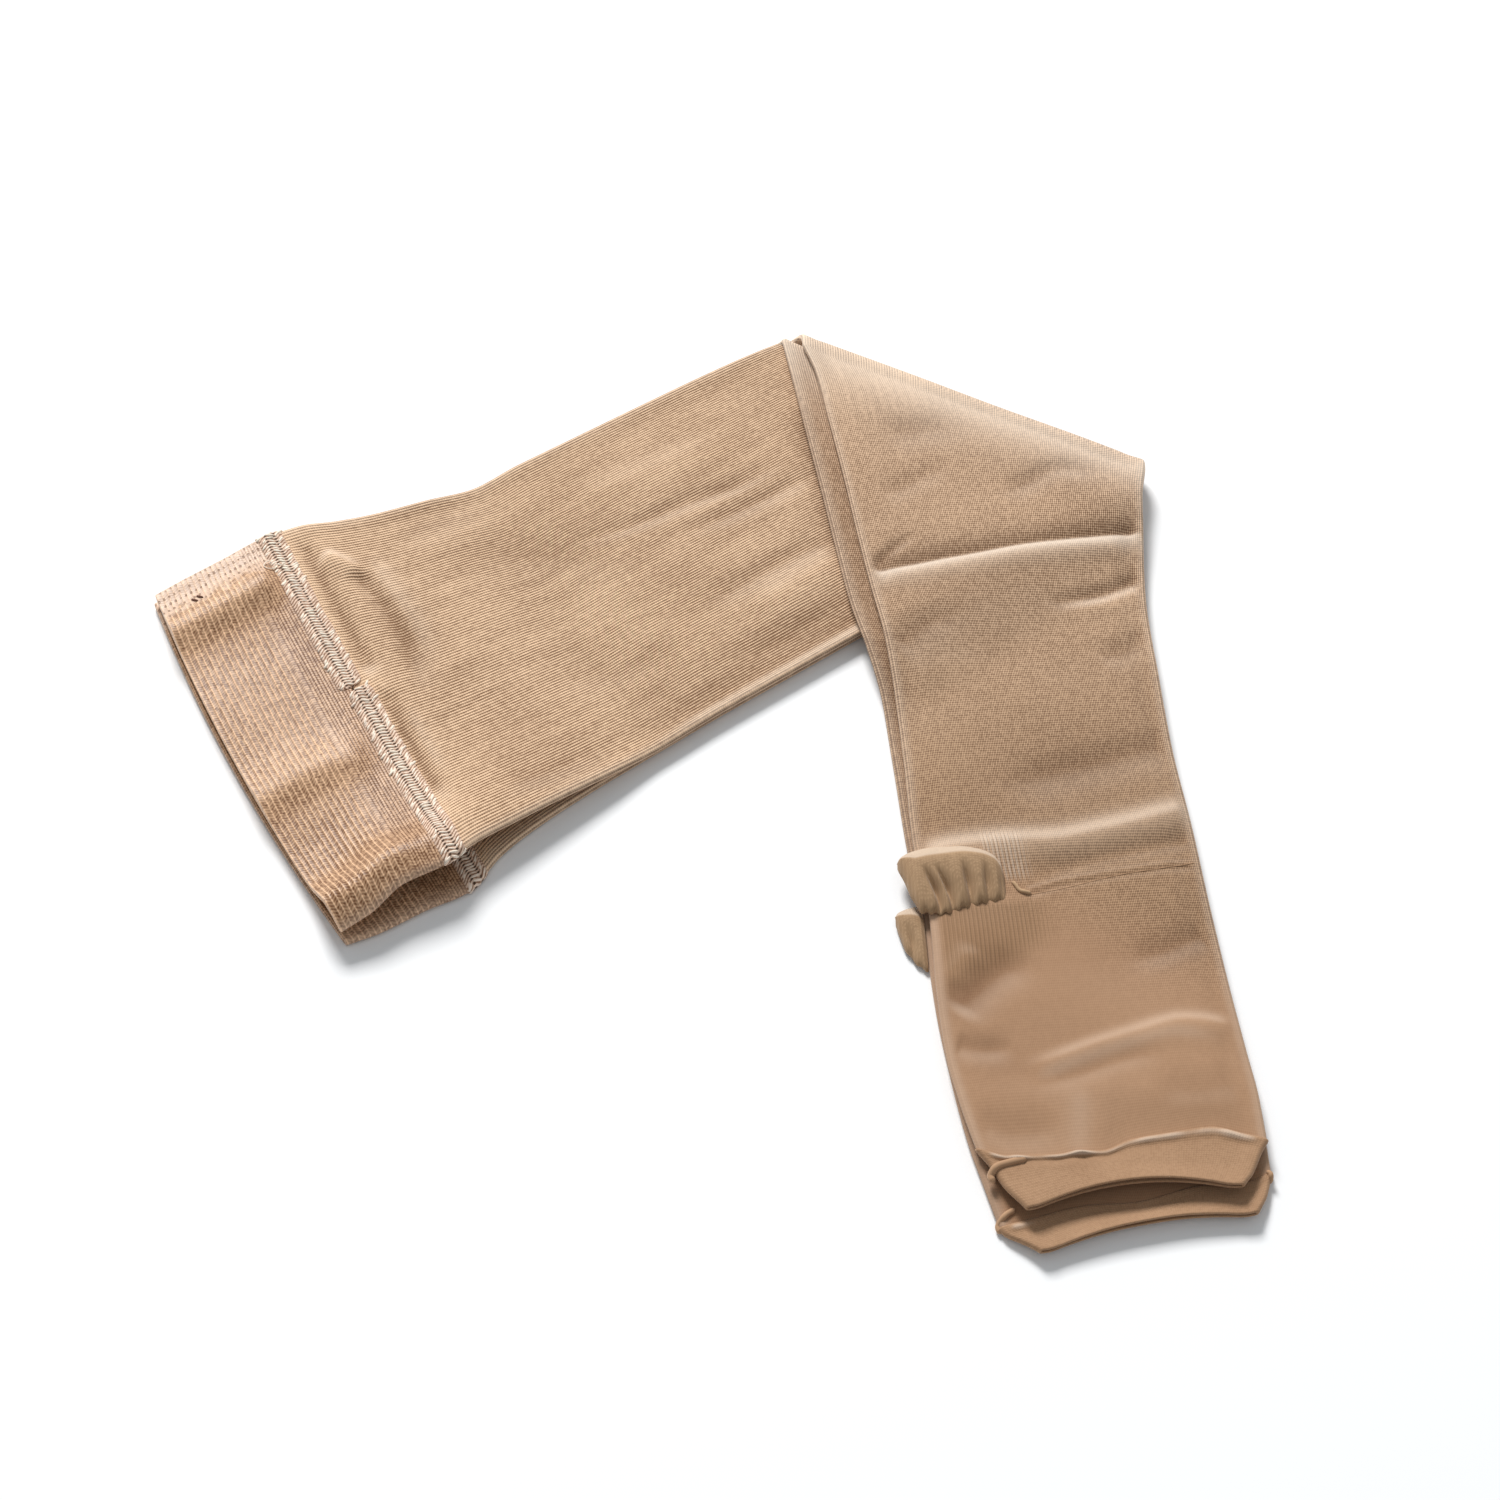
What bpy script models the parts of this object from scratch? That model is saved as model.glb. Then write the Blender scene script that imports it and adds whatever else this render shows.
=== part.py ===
"""A pair of open-toe, thigh-high compression stockings.

They lie flat, one on the other, and are folded together once across the knee. Stocking "under" is the
lower one at the thigh and wraps round the outside of the fold. Stocking "over" lies inside the fold.
Each stocking is five sewn or knitted pieces: thigh band, band seam, leg, heel pocket and toe cuff.
Every piece is a wall of cloth lofted through flattened rings, one ring for each row of its table.
"""

import math

import bmesh
import bpy
from mathutils import Vector

# All sizes are in millimetres and become metres once, in lay().
MM = 0.001

# The cloth: wall thickness of each piece, and the hollow left between its two sheets.
LEG_WALL = 1.0
BAND_WALL = 1.1
SEAM_WALL = 1.7
CUFF_WALL = 1.1
HEEL_WALL = 1.0
HOLLOW = 0.4
ROLL_HOLLOW = 1.0
ROLL_WIDTH = 7.0
GAP = 0.3

# How the pair is stacked: one tube with its rolled edges, and the step from one stocking to the next.
TUBE = 2 * LEG_WALL + ROLL_HOLLOW
STEP = TUBE + GAP

# The two straight stretches of the folded pair, seen from above: where each starts and its heading.
THIGH_START = (-188.7, -8.0)
THIGH_HEADING = 34.5
SHIN_START = (89.2, 179.8)
SHIN_HEADING = -86.8
CENTRE = (-29.7, 2.6)

# The lower legs lie on the folded thighs and come down to the floor past the thighs' front edge.
KNEE_RISE = 2 * STEP
THIGH_EDGE = -84.0
FALL_WIDTH = 42.0
FALL_ROWS = 8

# A front edge that stands off the layer below: how far in the lift dies out, and where the hump is.
LIFT_WIDTH = 60.0
HUMP_INSET = 20.0
HUMP_WIDTH = 13.0

# Where the points of a ring lie across the flattened tube, as shares of its width, and its rolled tips.
ACROSS = (0.05, 0.18, 0.34, 0.5, 0.66, 0.79, 0.88, 0.95)


def table(columns, *rows):
    """One dictionary for each row."""
    return [dict(zip(columns.split(), row)) for row in rows]


# A row is one ring. The back edge carries the heel and the front edge the shin. "back" and "front" are
# distances along the stretch, "_out" how far each edge is from its middle line, "bow" how far the middle
# of the ring runs ahead of its ends, "base" the height of the lower sheet, "lift" and "hump" how far the
# front edge and the cloth beside it stand up.
THIGH_COLUMNS = "back back_out front front_out bow base lift hump"
SHIN_COLUMNS = "back back_out front front_out bow base puff proud"

OVER = {
    "band": table(
        THIGH_COLUMNS,
        (8.4, 90.0, -8.4, 90.0, -4.0, 4.7, 0.0, 7.0),
        (22.0, 91.0, 3.0, 90.5, -3.0, 4.7, 2.0, 8.0),
        (38.0, 91.5, 18.0, 88.0, -1.5, 4.9, 5.0, 7.0),
        (54.9, 92.5, 33.0, 89.5, 0.0, 5.0, 6.5, 4.0),
    ),
    "thigh": table(
        THIGH_COLUMNS,
        (64.3, 91.5, 42.4, 88.0, 0.0, 5.0, 6.5, 2.5),
        (73.0, 90.0, 52.0, 86.3, 0.0, 4.6, 6.0, 1.5),
        (85.0, 85.0, 66.0, 85.8, 0.0, 4.0, 5.5, 1.0),
        (100.0, 80.0, 84.0, 85.3, 0.0, 3.5, 4.5, 0.5),
        (120.0, 75.0, 106.0, 85.0, 0.0, 3.3, 2.5, 0.0),
        (143.0, 69.0, 132.0, 84.0, 0.0, 3.3, 0.0, 0.0),
        (163.0, 70.3, 160.0, 82.5, 0.0, 3.3, 0.0, 0.0),
        (200.0, 70.3, 200.0, 81.7, 0.0, 3.3, 0.0, 0.0),
        (238.0, 70.2, 245.0, 80.8, 0.0, 3.3, 0.0, 0.0),
        (262.0, 69.8, 290.0, 78.8, 0.0, 3.3, 0.0, 0.0),
        (278.0, 69.0, 328.0, 77.0, 0.0, 3.3, 0.0, 0.0),
        (288.5, 68.0, 362.0, 75.0, 0.0, 3.3, 0.0, 0.0),
    ),
    "fold": {"reach": 1.9, "back_slip": 3.5, "front_slip": 2.9},
    "shin": table(
        SHIN_COLUMNS,
        (-8.0, 70.5, 62.0, 62.2, 0.0, 0.0, 0.0, 0.0),
        (20.0, 67.2, 80.0, 60.6, 0.0, 0.0, 0.0, 0.0),
        (50.0, 63.6, 98.0, 58.8, 0.0, 0.0, 0.0, 0.0),
        (82.0, 60.0, 116.0, 57.4, 0.0, 0.0, 0.0, 0.0),
        (112.0, 56.3, 134.0, 57.0, 0.0, 0.0, 0.0, 0.0),
        (134.0, 51.8, 148.0, 57.0, 0.0, 0.0, 0.0, 0.0),
        (156.0, 47.8, 164.0, 56.8, 0.0, 0.0, 0.0, 0.0),
        (185.0, 46.2, 185.0, 57.0, 0.0, 0.0, 0.0, 0.0),
        (222.0, 44.6, 222.0, 59.0, 0.0, 0.0, 0.0, 0.0),
        (257.0, 41.9, 257.0, 60.0, 0.0, 0.0, 0.0, 0.0),
        (297.0, 40.5, 297.0, 62.0, 0.0, 0.0, 0.0, 0.0),
        (320.0, 38.4, 320.0, 64.0, 0.0, 0.0, 0.0, 0.0),
        (346.0, 35.0, 342.0, 66.0, 0.0, 0.0, 0.0, 0.0),
        (376.5, 28.0, 364.0, 65.6, 0.0, 0.0, 0.0, 0.0),
    ),
    "cuff": table(
        SHIN_COLUMNS,
        (376.8, 28.4, 364.3, 66.0, 0.0, 0.0, 0.0, 0.7),
        (378.6, 27.8, 366.1, 65.6, 0.0, 0.0, 0.0, 0.7),
        (379.8, 26.6, 367.3, 64.6, -0.5, 0.0, 0.1, 0.0),
        (384.5, 21.5, 373.0, 62.0, -2.5, 0.0, 0.6, 0.0),
        (389.6, 16.5, 379.5, 58.5, -5.0, 0.0, 1.0, 0.0),
    ),
    "stack": 0.0,
}

UNDER = {
    "band": table(
        THIGH_COLUMNS,
        (6.0, 90.3, -9.5, 91.5, -5.5, 0.0, 0.0, 0.0),
        (22.0, 91.5, 6.0, 94.0, -3.0, 0.0, 0.0, 0.0),
        (38.0, 92.0, 22.0, 94.7, -1.5, 0.0, 0.0, 0.0),
        (56.5, 93.0, 37.5, 96.6, 0.0, 0.0, 0.0, 0.0),
    ),
    "thigh": table(
        THIGH_COLUMNS,
        (65.9, 92.0, 46.9, 94.0, 0.0, 0.0, 0.0, 0.0),
        (74.0, 90.5, 56.0, 90.0, 0.0, 0.0, 0.0, 0.0),
        (86.0, 85.5, 68.0, 87.2, 0.0, 0.0, 0.0, 0.0),
        (101.0, 80.6, 86.0, 85.0, 0.0, 0.0, 0.0, 0.0),
        (120.0, 75.6, 106.0, 83.6, 0.0, 0.0, 0.0, 0.0),
        (143.0, 70.0, 132.0, 82.6, 0.0, 0.0, 0.0, 0.0),
        (163.0, 70.9, 160.0, 81.5, 0.0, 0.0, 0.0, 0.0),
        (200.0, 71.4, 200.0, 80.8, 0.0, 0.0, 0.0, 0.0),
        (238.0, 71.2, 245.0, 79.8, 0.0, 0.0, 0.0, 0.0),
        (262.0, 70.6, 290.0, 77.8, 0.0, 0.0, 0.0, 0.0),
        (278.0, 69.4, 328.0, 76.0, 0.0, 0.0, 0.0, 0.0),
        (288.0, 68.0, 362.4, 74.0, 0.0, 0.0, 0.0, 0.0),
    ),
    "fold": {"reach": 7.5, "back_slip": 13.5, "front_slip": 9.0},
    "shin": table(
        SHIN_COLUMNS,
        (-12.0, 61.2, 64.0, 65.0, 0.0, 0.0, 0.0, 0.0),
        (16.0, 57.8, 82.0, 63.0, 0.0, 0.0, 0.0, 0.0),
        (46.0, 54.4, 100.0, 61.0, 0.0, 0.4, 0.0, 0.0),
        (78.0, 51.3, 118.0, 59.4, 0.0, 0.5, 0.0, 0.0),
        (106.0, 48.2, 134.0, 59.0, 0.0, 0.5, 0.0, 0.0),
        (130.0, 45.0, 148.0, 59.0, 0.0, 0.5, 0.0, 0.0),
        (156.0, 43.0, 164.0, 58.8, 0.0, 0.4, 0.0, 0.0),
        (188.0, 42.3, 188.0, 58.9, 0.0, 0.0, 0.0, 0.0),
        (222.0, 42.4, 222.0, 60.6, 0.0, 0.0, 0.0, 0.0),
        (257.0, 39.6, 257.0, 61.5, 0.0, 0.0, 0.0, 0.0),
        (292.0, 40.0, 292.0, 62.9, 0.0, 0.0, 0.0, 0.0),
        (315.0, 39.2, 318.0, 64.4, 0.0, 0.2, 0.0, 0.0),
        (332.0, 36.8, 336.0, 65.4, 0.0, 0.8, 0.0, 0.0),
        (348.0, 33.0, 351.0, 65.2, 0.0, 1.2, 0.0, 0.0),
    ),
    "cuff": table(
        SHIN_COLUMNS,
        (348.3, 33.4, 351.3, 65.6, 0.0, 1.2, 0.0, 0.7),
        (350.1, 32.6, 353.1, 65.0, 0.0, 1.2, 0.0, 0.7),
        (351.3, 31.4, 354.3, 64.0, -0.5, 1.2, 0.1, 0.0),
        (363.0, 27.0, 363.5, 59.5, -4.0, 1.3, 0.8, 0.0),
        (376.0, 19.5, 371.5, 54.5, -7.0, 1.3, 1.4, 0.0),
    ),
    "stack": STEP,
}

# A heel pocket is an arched flap: a row is one slice across the leg, from its outer tip inwards.
HEEL_COLUMNS = "across knee_side toe_side height"
UNDER_HEEL = table(
    HEEL_COLUMNS,
    (-49.0, 233.0, 246.0, 2.2),
    (-44.0, 229.0, 252.5, 4.2),
    (-36.0, 227.6, 255.8, 5.4),
    (-27.0, 227.6, 254.6, 5.6),
    (-18.0, 230.0, 252.0, 4.8),
    (-11.5, 236.5, 249.5, 2.4),
)
OVER_HEEL = table(
    HEEL_COLUMNS,
    (-51.0, 253.5, 258.5, 2.2),
    (-48.5, 251.5, 267.0, 3.6),
    (-45.5, 250.2, 273.0, 4.4),
    (-42.9, 249.6, 275.6, 4.6),
)
HEEL_ARCH = ((0.0, 0.0), (0.03, 0.55), (0.16, 0.92), (0.4, 1.0), (0.7, 0.72), (0.93, 0.4), (1.0, 0.0))

# The rings of a band seam, as shares of its width, and what each kind of piece is called.
SEAM_SHARES = (0.0, 0.33, 0.67, 1.0)
NODE_NAMES = {
    "band": "thigh_band",
    "seam": "band_seam",
    "leg": "leg",
    "heel": "heel_pocket",
    "cuff": "toe_cuff",
}

COLOURS = {
    "leg": (0.53, 0.36, 0.24),
    "band": (0.50, 0.31, 0.20),
    "seam": (0.68, 0.54, 0.38),
    "heel": (0.47, 0.32, 0.22),
    "cuff": (0.49, 0.32, 0.21),
}
ROUGHNESS = {"leg": 0.85, "band": 0.6, "seam": 0.9, "heel": 0.85, "cuff": 0.85}


def smooth(share):
    """0 below 0, 1 above 1, and an even curve between."""
    share = min(1.0, max(0.0, share))
    return share * share * (3 - 2 * share)


def placed(start, heading, along, out):
    """The plan point at that distance along a stretch, and that far to the left of its middle line."""
    turn = math.radians(heading)
    ahead = Vector((math.cos(turn), math.sin(turn)))
    left = Vector((-ahead.y, ahead.x))
    return Vector(start) + along * ahead + out * left


def knee_rise(point):
    """How far the thighs lift the lower leg at a plan point."""
    turn = math.radians(THIGH_HEADING)
    left = Vector((-math.sin(turn), math.cos(turn)))
    out = (point - Vector(THIGH_START)).dot(left)
    return KNEE_RISE * smooth((out - THIGH_EDGE) / FALL_WIDTH + 1)


def half_hollow(inset):
    """Half the space between the two sheets: more in the rolled edge than across the flat middle."""
    return (HOLLOW + (ROLL_HOLLOW - HOLLOW) * (1 - smooth(inset / ROLL_WIDTH))) / 2


def ring(start_point, end_point, wall, height, normal, bow=None, puff=0.0, proud=0.0):
    """The outer and inner ring of one flattened section, from its back edge to its front edge and round.

    height(point, inset, half) is the height of the middle surface, and normal(point) the way that the
    sheet that faces up at the thigh faces here.
    """
    span = end_point - start_point
    width = span.length
    bow = bow or Vector((0, 0))
    tip = half_hollow(0) + wall + proud
    shares = [tip / width, *ACROSS, 1 - tip / width]
    middles, halves = [], []
    for share in shares:
        inset = min(share, 1 - share) * width - tip
        half = half_hollow(inset) + puff * 4 * share * (1 - share)
        plan = start_point + share * span + 4 * share * (1 - share) * bow
        middles.append(Vector((*plan, height(plan, (1 - share) * width, half + wall + proud))))
        halves.append(half)
    tops, bottoms = {}, {}
    for skin, more in (("outer", wall + proud), ("inner", 0.0)):
        tops[skin], bottoms[skin] = [], []
        for i, (middle, half) in enumerate(zip(middles, halves)):
            run = middles[min(i + 1, len(middles) - 1)] - middles[max(i - 1, 0)]
            up = normal(middle)
            up = (up - run.normalized() * up.dot(run.normalized())).normalized()
            tops[skin].append(middle + up * (half + more))
            bottoms[skin].append(middle - up * (half + more))
    first = (middles[0] - middles[1]).normalized()
    last = (middles[-1] - middles[-2]).normalized()
    rings = []
    for skin, more in (("outer", wall + proud), ("inner", 0.0)):
        reach = half_hollow(0) + more
        rings.append(
            [middles[0] + first * reach, *tops[skin], middles[-1] + last * reach, *reversed(bottoms[skin])]
        )
    return rings


def thigh_ring(row, wall, proud=0.0):
    """The rings of one row of a thigh table."""
    back = placed(THIGH_START, THIGH_HEADING, row["back"], row["back_out"])
    front = placed(THIGH_START, THIGH_HEADING, row["front"], -row["front_out"])
    ahead = placed((0, 0), THIGH_HEADING, row["bow"], 0)

    def height(_, inset, half):
        lift = row["lift"] * (1 - smooth(inset / LIFT_WIDTH))
        hump = row["hump"] * math.exp(-(((inset - HUMP_INSET) / HUMP_WIDTH) ** 2))
        return row["base"] + half + lift + hump

    return ring(back, front, wall, height, lambda _: Vector((0, 0, 1)), ahead, proud=proud)


def shin_ring(row, wall, stack):
    """The rings of one row of a lower leg's table, whose sheets have changed sides at the fold."""
    back = placed(SHIN_START, SHIN_HEADING, row["back"], -row["back_out"])
    front = placed(SHIN_START, SHIN_HEADING, row["front"], row["front_out"])
    ahead = placed((0, 0), SHIN_HEADING, row["bow"], 0)

    def height(plan, _, half):
        return knee_rise(plan) + stack + row["base"] + half

    down = Vector((0, 0, -1))
    return ring(back, front, wall, height, lambda _: down, ahead, row["puff"], row["proud"])


def fold_rings(stocking):
    """The rings that carry the leg round the fold, on a half ellipse about the fold line."""
    row, fold = stocking["thigh"][-1], stocking["fold"]
    back = placed(THIGH_START, THIGH_HEADING, row["back"], row["back_out"])
    front = placed(THIGH_START, THIGH_HEADING, row["front"], -row["front_out"])
    line = (front - back).normalized()
    outward = Vector((-line.y, line.x))
    rise = (KNEE_RISE + stocking["stack"] - row["base"]) / 2
    made = []
    for degrees in (-60, -30, 0, 30, 60, 90):
        turn = math.radians(degrees)
        out = outward * fold["reach"] * math.cos(turn)
        slip = (degrees + 90) / 180
        facing = Vector(
            (*(-outward * math.cos(turn) / fold["reach"]), -math.sin(turn) / rise)
        ).normalized()
        made.append(
            ring(
                back + out + line * fold["back_slip"] * slip,
                front + out + line * fold["front_slip"] * slip,
                LEG_WALL,
                lambda _, __, half: row["base"] + half + rise * (1 + math.sin(turn)),
                lambda _: facing,
            )
        )
    return made


def moved(row, along):
    """The same ring further along its stretch."""
    return {**row, "back": row["back"] + along, "front": row["front"] + along}


def blended(first, last, share):
    """A row between two others."""
    return {name: first[name] + share * (last[name] - first[name]) for name in first}


def halved(rows, count):
    """The rows, with one more midway in each of the first few steps, where the cloth bends most."""
    made = []
    for i, row in enumerate(rows[:-1]):
        made += [row, blended(row, rows[i + 1], 0.5)] if i < count else [row]
    return [*made, rows[-1]]


def strip(shape, here, there):
    """The faces between two closed loops of points."""
    for i in range(len(here)):
        j = (i + 1) % len(here)
        shape.faces.new((here[i], here[j], there[j], there[i]))


def loop_of(shape, points):
    """The corners of one loop, moved to the object's own centre and into metres."""
    centre = Vector((*CENTRE, 0))
    return [shape.verts.new((point - centre) * MM) for point in points]


def finish(shape, name, kind, collection, materials):
    """The named object of a closed shape, with its faces turned outwards."""
    bmesh.ops.recalc_face_normals(shape, faces=shape.faces)
    mesh = bpy.data.meshes.new(name)
    shape.to_mesh(mesh)
    shape.free()
    mesh.shade_smooth()
    mesh.materials.append(materials[kind])
    collection.objects.link(bpy.data.objects.new(name, mesh))


def tube(rings):
    """An open tube of cloth: its outer skin, its inner skin and the raw edges that join them."""
    shape = bmesh.new()
    skins = [[loop_of(shape, pair[side]) for pair in rings] for side in (0, 1)]
    for skin in skins:
        for here, there in zip(skin, skin[1:]):
            strip(shape, here, there)
    for end in (0, -1):
        strip(shape, skins[0][end], skins[1][end])
    return shape


def heel_pocket(rows, base):
    """An arched flap of cloth that is open underneath, lofted from slice to slice across the leg."""
    shape = bmesh.new()
    slices = []
    for row in rows:
        length = row["toe_side"] - row["knee_side"]
        points = []
        for inset in (0.0, HEEL_WALL):
            arch = []
            for share, rise in HEEL_ARCH:
                along = row["knee_side"] + inset + share * (length - 2 * inset)
                plan = placed(SHIN_START, SHIN_HEADING, along, row["across"])
                arch.append(Vector((*plan, base + rise * (HEEL_WALL + row["height"] - inset))))
            points += arch if inset == 0.0 else reversed(arch)
        slices.append(loop_of(shape, points))
    for here, there in zip(slices, slices[1:]):
        strip(shape, here, there)
    for end in (slices[0], slices[-1]):
        half = len(end) // 2
        for i in range(half - 1):
            shape.faces.new((end[i], end[i + 1], end[-2 - i], end[-1 - i]))
    return shape


def stocking_shapes(stocking, heel_rows, heel_base):
    """The five pieces of one stocking, each as a closed shape, by kind."""
    stack = stocking["stack"]
    band, thigh, shin, cuff = (stocking[name] for name in ("band", "thigh", "shin", "cuff"))
    seam_ends = moved(band[-1], GAP), moved(thigh[0], -GAP)
    seam = [blended(*seam_ends, share) for share in SEAM_SHARES]
    leg = [thigh_ring(row, LEG_WALL) for row in thigh] + fold_rings(stocking)
    leg += [shin_ring(row, LEG_WALL, stack) for row in halved(shin, FALL_ROWS)]
    return {
        "band": tube([thigh_ring(row, BAND_WALL) for row in band]),
        "seam": tube([thigh_ring(row, SEAM_WALL) for row in seam]),
        "leg": tube(leg),
        "cuff": tube([shin_ring(row, CUFF_WALL, stack) for row in cuff]),
        "heel": heel_pocket(heel_rows, heel_base),
    }


def material(kind):
    """The plain finish of one kind of piece."""
    made = bpy.data.materials.new(kind + "_cloth")
    made.use_nodes = True
    shader = made.node_tree.nodes["Principled BSDF"]
    shader.inputs["Base Color"].default_value = (*COLOURS[kind], 1)
    shader.inputs["Roughness"].default_value = ROUGHNESS[kind]
    shader.inputs["Metallic"].default_value = 0.0
    made.diffuse_color = (*COLOURS[kind], 1)
    return made


def main():
    for thing in list(bpy.data.objects):
        bpy.data.objects.remove(thing)
    collection = bpy.data.collections.new("compression_stockings")
    bpy.context.scene.collection.children.link(collection)
    materials = {kind: material(kind) for kind in COLOURS}
    pair = {
        "over": stocking_shapes(OVER, OVER_HEEL, 0.0),
        "under": stocking_shapes(UNDER, UNDER_HEEL, UNDER["stack"] + TUBE + GAP),
    }
    for which, shapes in pair.items():
        for kind, shape in shapes.items():
            finish(shape, f"{which}_{NODE_NAMES[kind]}", kind, collection, materials)


main()
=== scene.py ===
import math

import bmesh
import bpy
import numpy as np
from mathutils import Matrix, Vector
from mathutils.bvhtree import BVHTree


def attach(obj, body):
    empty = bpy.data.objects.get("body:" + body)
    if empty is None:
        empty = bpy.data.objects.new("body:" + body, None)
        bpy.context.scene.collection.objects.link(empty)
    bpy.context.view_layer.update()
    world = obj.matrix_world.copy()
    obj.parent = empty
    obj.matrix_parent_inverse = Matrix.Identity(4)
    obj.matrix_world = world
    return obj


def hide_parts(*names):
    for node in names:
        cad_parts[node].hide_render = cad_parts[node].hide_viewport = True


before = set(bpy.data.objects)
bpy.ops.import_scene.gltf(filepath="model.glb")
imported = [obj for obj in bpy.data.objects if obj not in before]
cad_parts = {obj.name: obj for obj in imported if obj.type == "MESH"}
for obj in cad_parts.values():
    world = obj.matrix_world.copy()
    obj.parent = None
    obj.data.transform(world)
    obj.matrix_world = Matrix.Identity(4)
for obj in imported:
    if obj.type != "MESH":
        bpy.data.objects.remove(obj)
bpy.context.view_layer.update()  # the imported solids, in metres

mm = 0.001

# How the folded pair lies, in millimetres: the two straight stretches and what the fold stands on.
lie = {
    "thighStart": np.array((-188.7, -8.0)),
    "thighHeading": 34.5,
    "shinStart": np.array((89.2, 179.8)),
    "shinHeading": -86.8,
    "middle": (-29.7, 2.6),
    "step": 3.3,
    "kneeRise": 6.6,
    "thighEdge": -84.0,
    "fallWidth": 42.0,
    "liftWidth": 60.0,
    "humpInset": 11.0,
    "humpWidth": 9.0,
    "hollow": 0.4,
    "rollHollow": 1.0,
    "rollWidth": 7.0,
    "legWall": 1.0,
    "foldOffset": 316.0,  # distance along the leg at the fold, less the lower leg's own reading there
    "walesAcross": 102,
    "walesRoll": 2.0,
}


def heading(degrees):
    turn = math.radians(degrees)
    return np.array([math.cos(turn), math.sin(turn)])


def leftOf(way):
    return np.stack([-way[..., 1], way[..., 0]], axis=-1)


thighAhead, shinAhead = heading(lie["thighHeading"]), heading(lie["shinHeading"])
thighLeft, shinLeft = leftOf(thighAhead), leftOf(shinAhead)


def smooth(share):
    share = np.clip(share, 0.0, 1.0)
    return share * share * (3 - 2 * share)


def throughRows(at, values, where):
    # a curve through the rows that never runs past them
    at, values = np.asarray(at, float), np.asarray(values, float)
    if values.ndim > 1:
        return np.stack([throughRows(at, column, where) for column in values.T], axis=-1)
    gaps = np.diff(at)
    slopes = np.diff(values) / gaps
    tangents = np.zeros_like(values)
    tangents[0], tangents[-1] = slopes[0], slopes[-1]
    before, after = slopes[:-1], slopes[1:]
    same = before * after > 0
    first, second = 2 * gaps[1:] + gaps[:-1], gaps[1:] + 2 * gaps[:-1]
    safeBefore, safeAfter = np.where(same, before, 1), np.where(same, after, 1)
    tangents[1:-1] = np.where(same, (first + second) / (first / safeBefore + second / safeAfter), 0)
    i = np.clip(np.searchsorted(at, where) - 1, 0, len(gaps) - 1)
    t = (where - at[i]) / gaps[i]
    here, there = values[i], values[i + 1]
    bend = tangents[i] * gaps[i], tangents[i + 1] * gaps[i]
    return (
        here * (1 + 2 * t) * (1 - t) ** 2
        + bend[0] * t * (1 - t) ** 2
        + there * t * t * (3 - 2 * t)
        + bend[1] * t * t * (t - 1)
    )


def runAlong(path):
    # the distance along a path at each of its points
    return np.concatenate([[0], np.cumsum(np.linalg.norm(np.diff(path, axis=0), axis=1))])


def evenly(t, spacing):
    return np.linspace(t[0], t[-1], max(2, int(round((t[-1] - t[0]) / spacing)) + 1))


def onThigh(along, out):
    return lie["thighStart"] + along * thighAhead + out * thighLeft


def onShin(along, out):
    return lie["shinStart"] + along * shinAhead + out * shinLeft


def filled(rows, width):
    # the rows of a table, with the noughts that end them filled in
    return np.array([[*row, *[0.0] * (width - len(row))] for row in rows])


# rows: one flattened ring of the tube each, as arrays


def ringRows(t, **given):
    none = np.zeros(len(t))
    return {"t": t, "lift": none, "hump": none, "knee": none, "puff": none, **given}


def thighRows(rows, spacing):
    rows = filled(rows, 8)
    t = (rows[:, 0] + rows[:, 2]) / 2
    at = evenly(t, spacing)
    back, backOut, front, frontOut, bow, base, lift, hump = throughRows(t, rows, at).T[..., None]
    return ringRows(
        at,
        back=onThigh(back, backOut),
        front=onThigh(front, -frontOut),
        bow=bow * thighAhead,
        base=base[:, 0],
        lift=lift[:, 0],
        hump=hump[:, 0],
        turn=np.full(len(at), -90.0),
        facing=np.tile((0.0, 0.0, 1.0), (len(at), 1)),
    )


def foldRows(thigh, fold, stack, count):
    # half an ellipse about the fold line, from the thigh's last row to the lower leg
    back, front, base = thigh["back"][-1], thigh["front"][-1], thigh["base"][-1]
    line = (front - back) / np.linalg.norm(front - back)
    outward = leftOf(line)
    rise = (lie["kneeRise"] + stack - base) / 2
    degrees = np.linspace(-90, 90, count + 2)[1:-1]
    turn = np.radians(degrees)[:, None]
    out = outward * fold["reach"] * np.cos(turn)
    slip = (degrees[:, None] + 90) / 180
    facing = np.concatenate([-outward * np.cos(turn) / fold["reach"], -np.sin(turn) / rise], axis=1)
    backSlip, frontSlip = line * fold["backSlip"], line * fold["frontSlip"]
    return ringRows(
        np.zeros(count),
        back=back + out + backSlip * slip,
        front=front + out + frontSlip * slip,
        bow=np.zeros((count, 2)),
        base=base + rise * (1 + np.sin(turn[:, 0])),
        turn=degrees,
        facing=facing / np.linalg.norm(facing, axis=1, keepdims=True),
    ), (back + backSlip, front + frontSlip)


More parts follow.
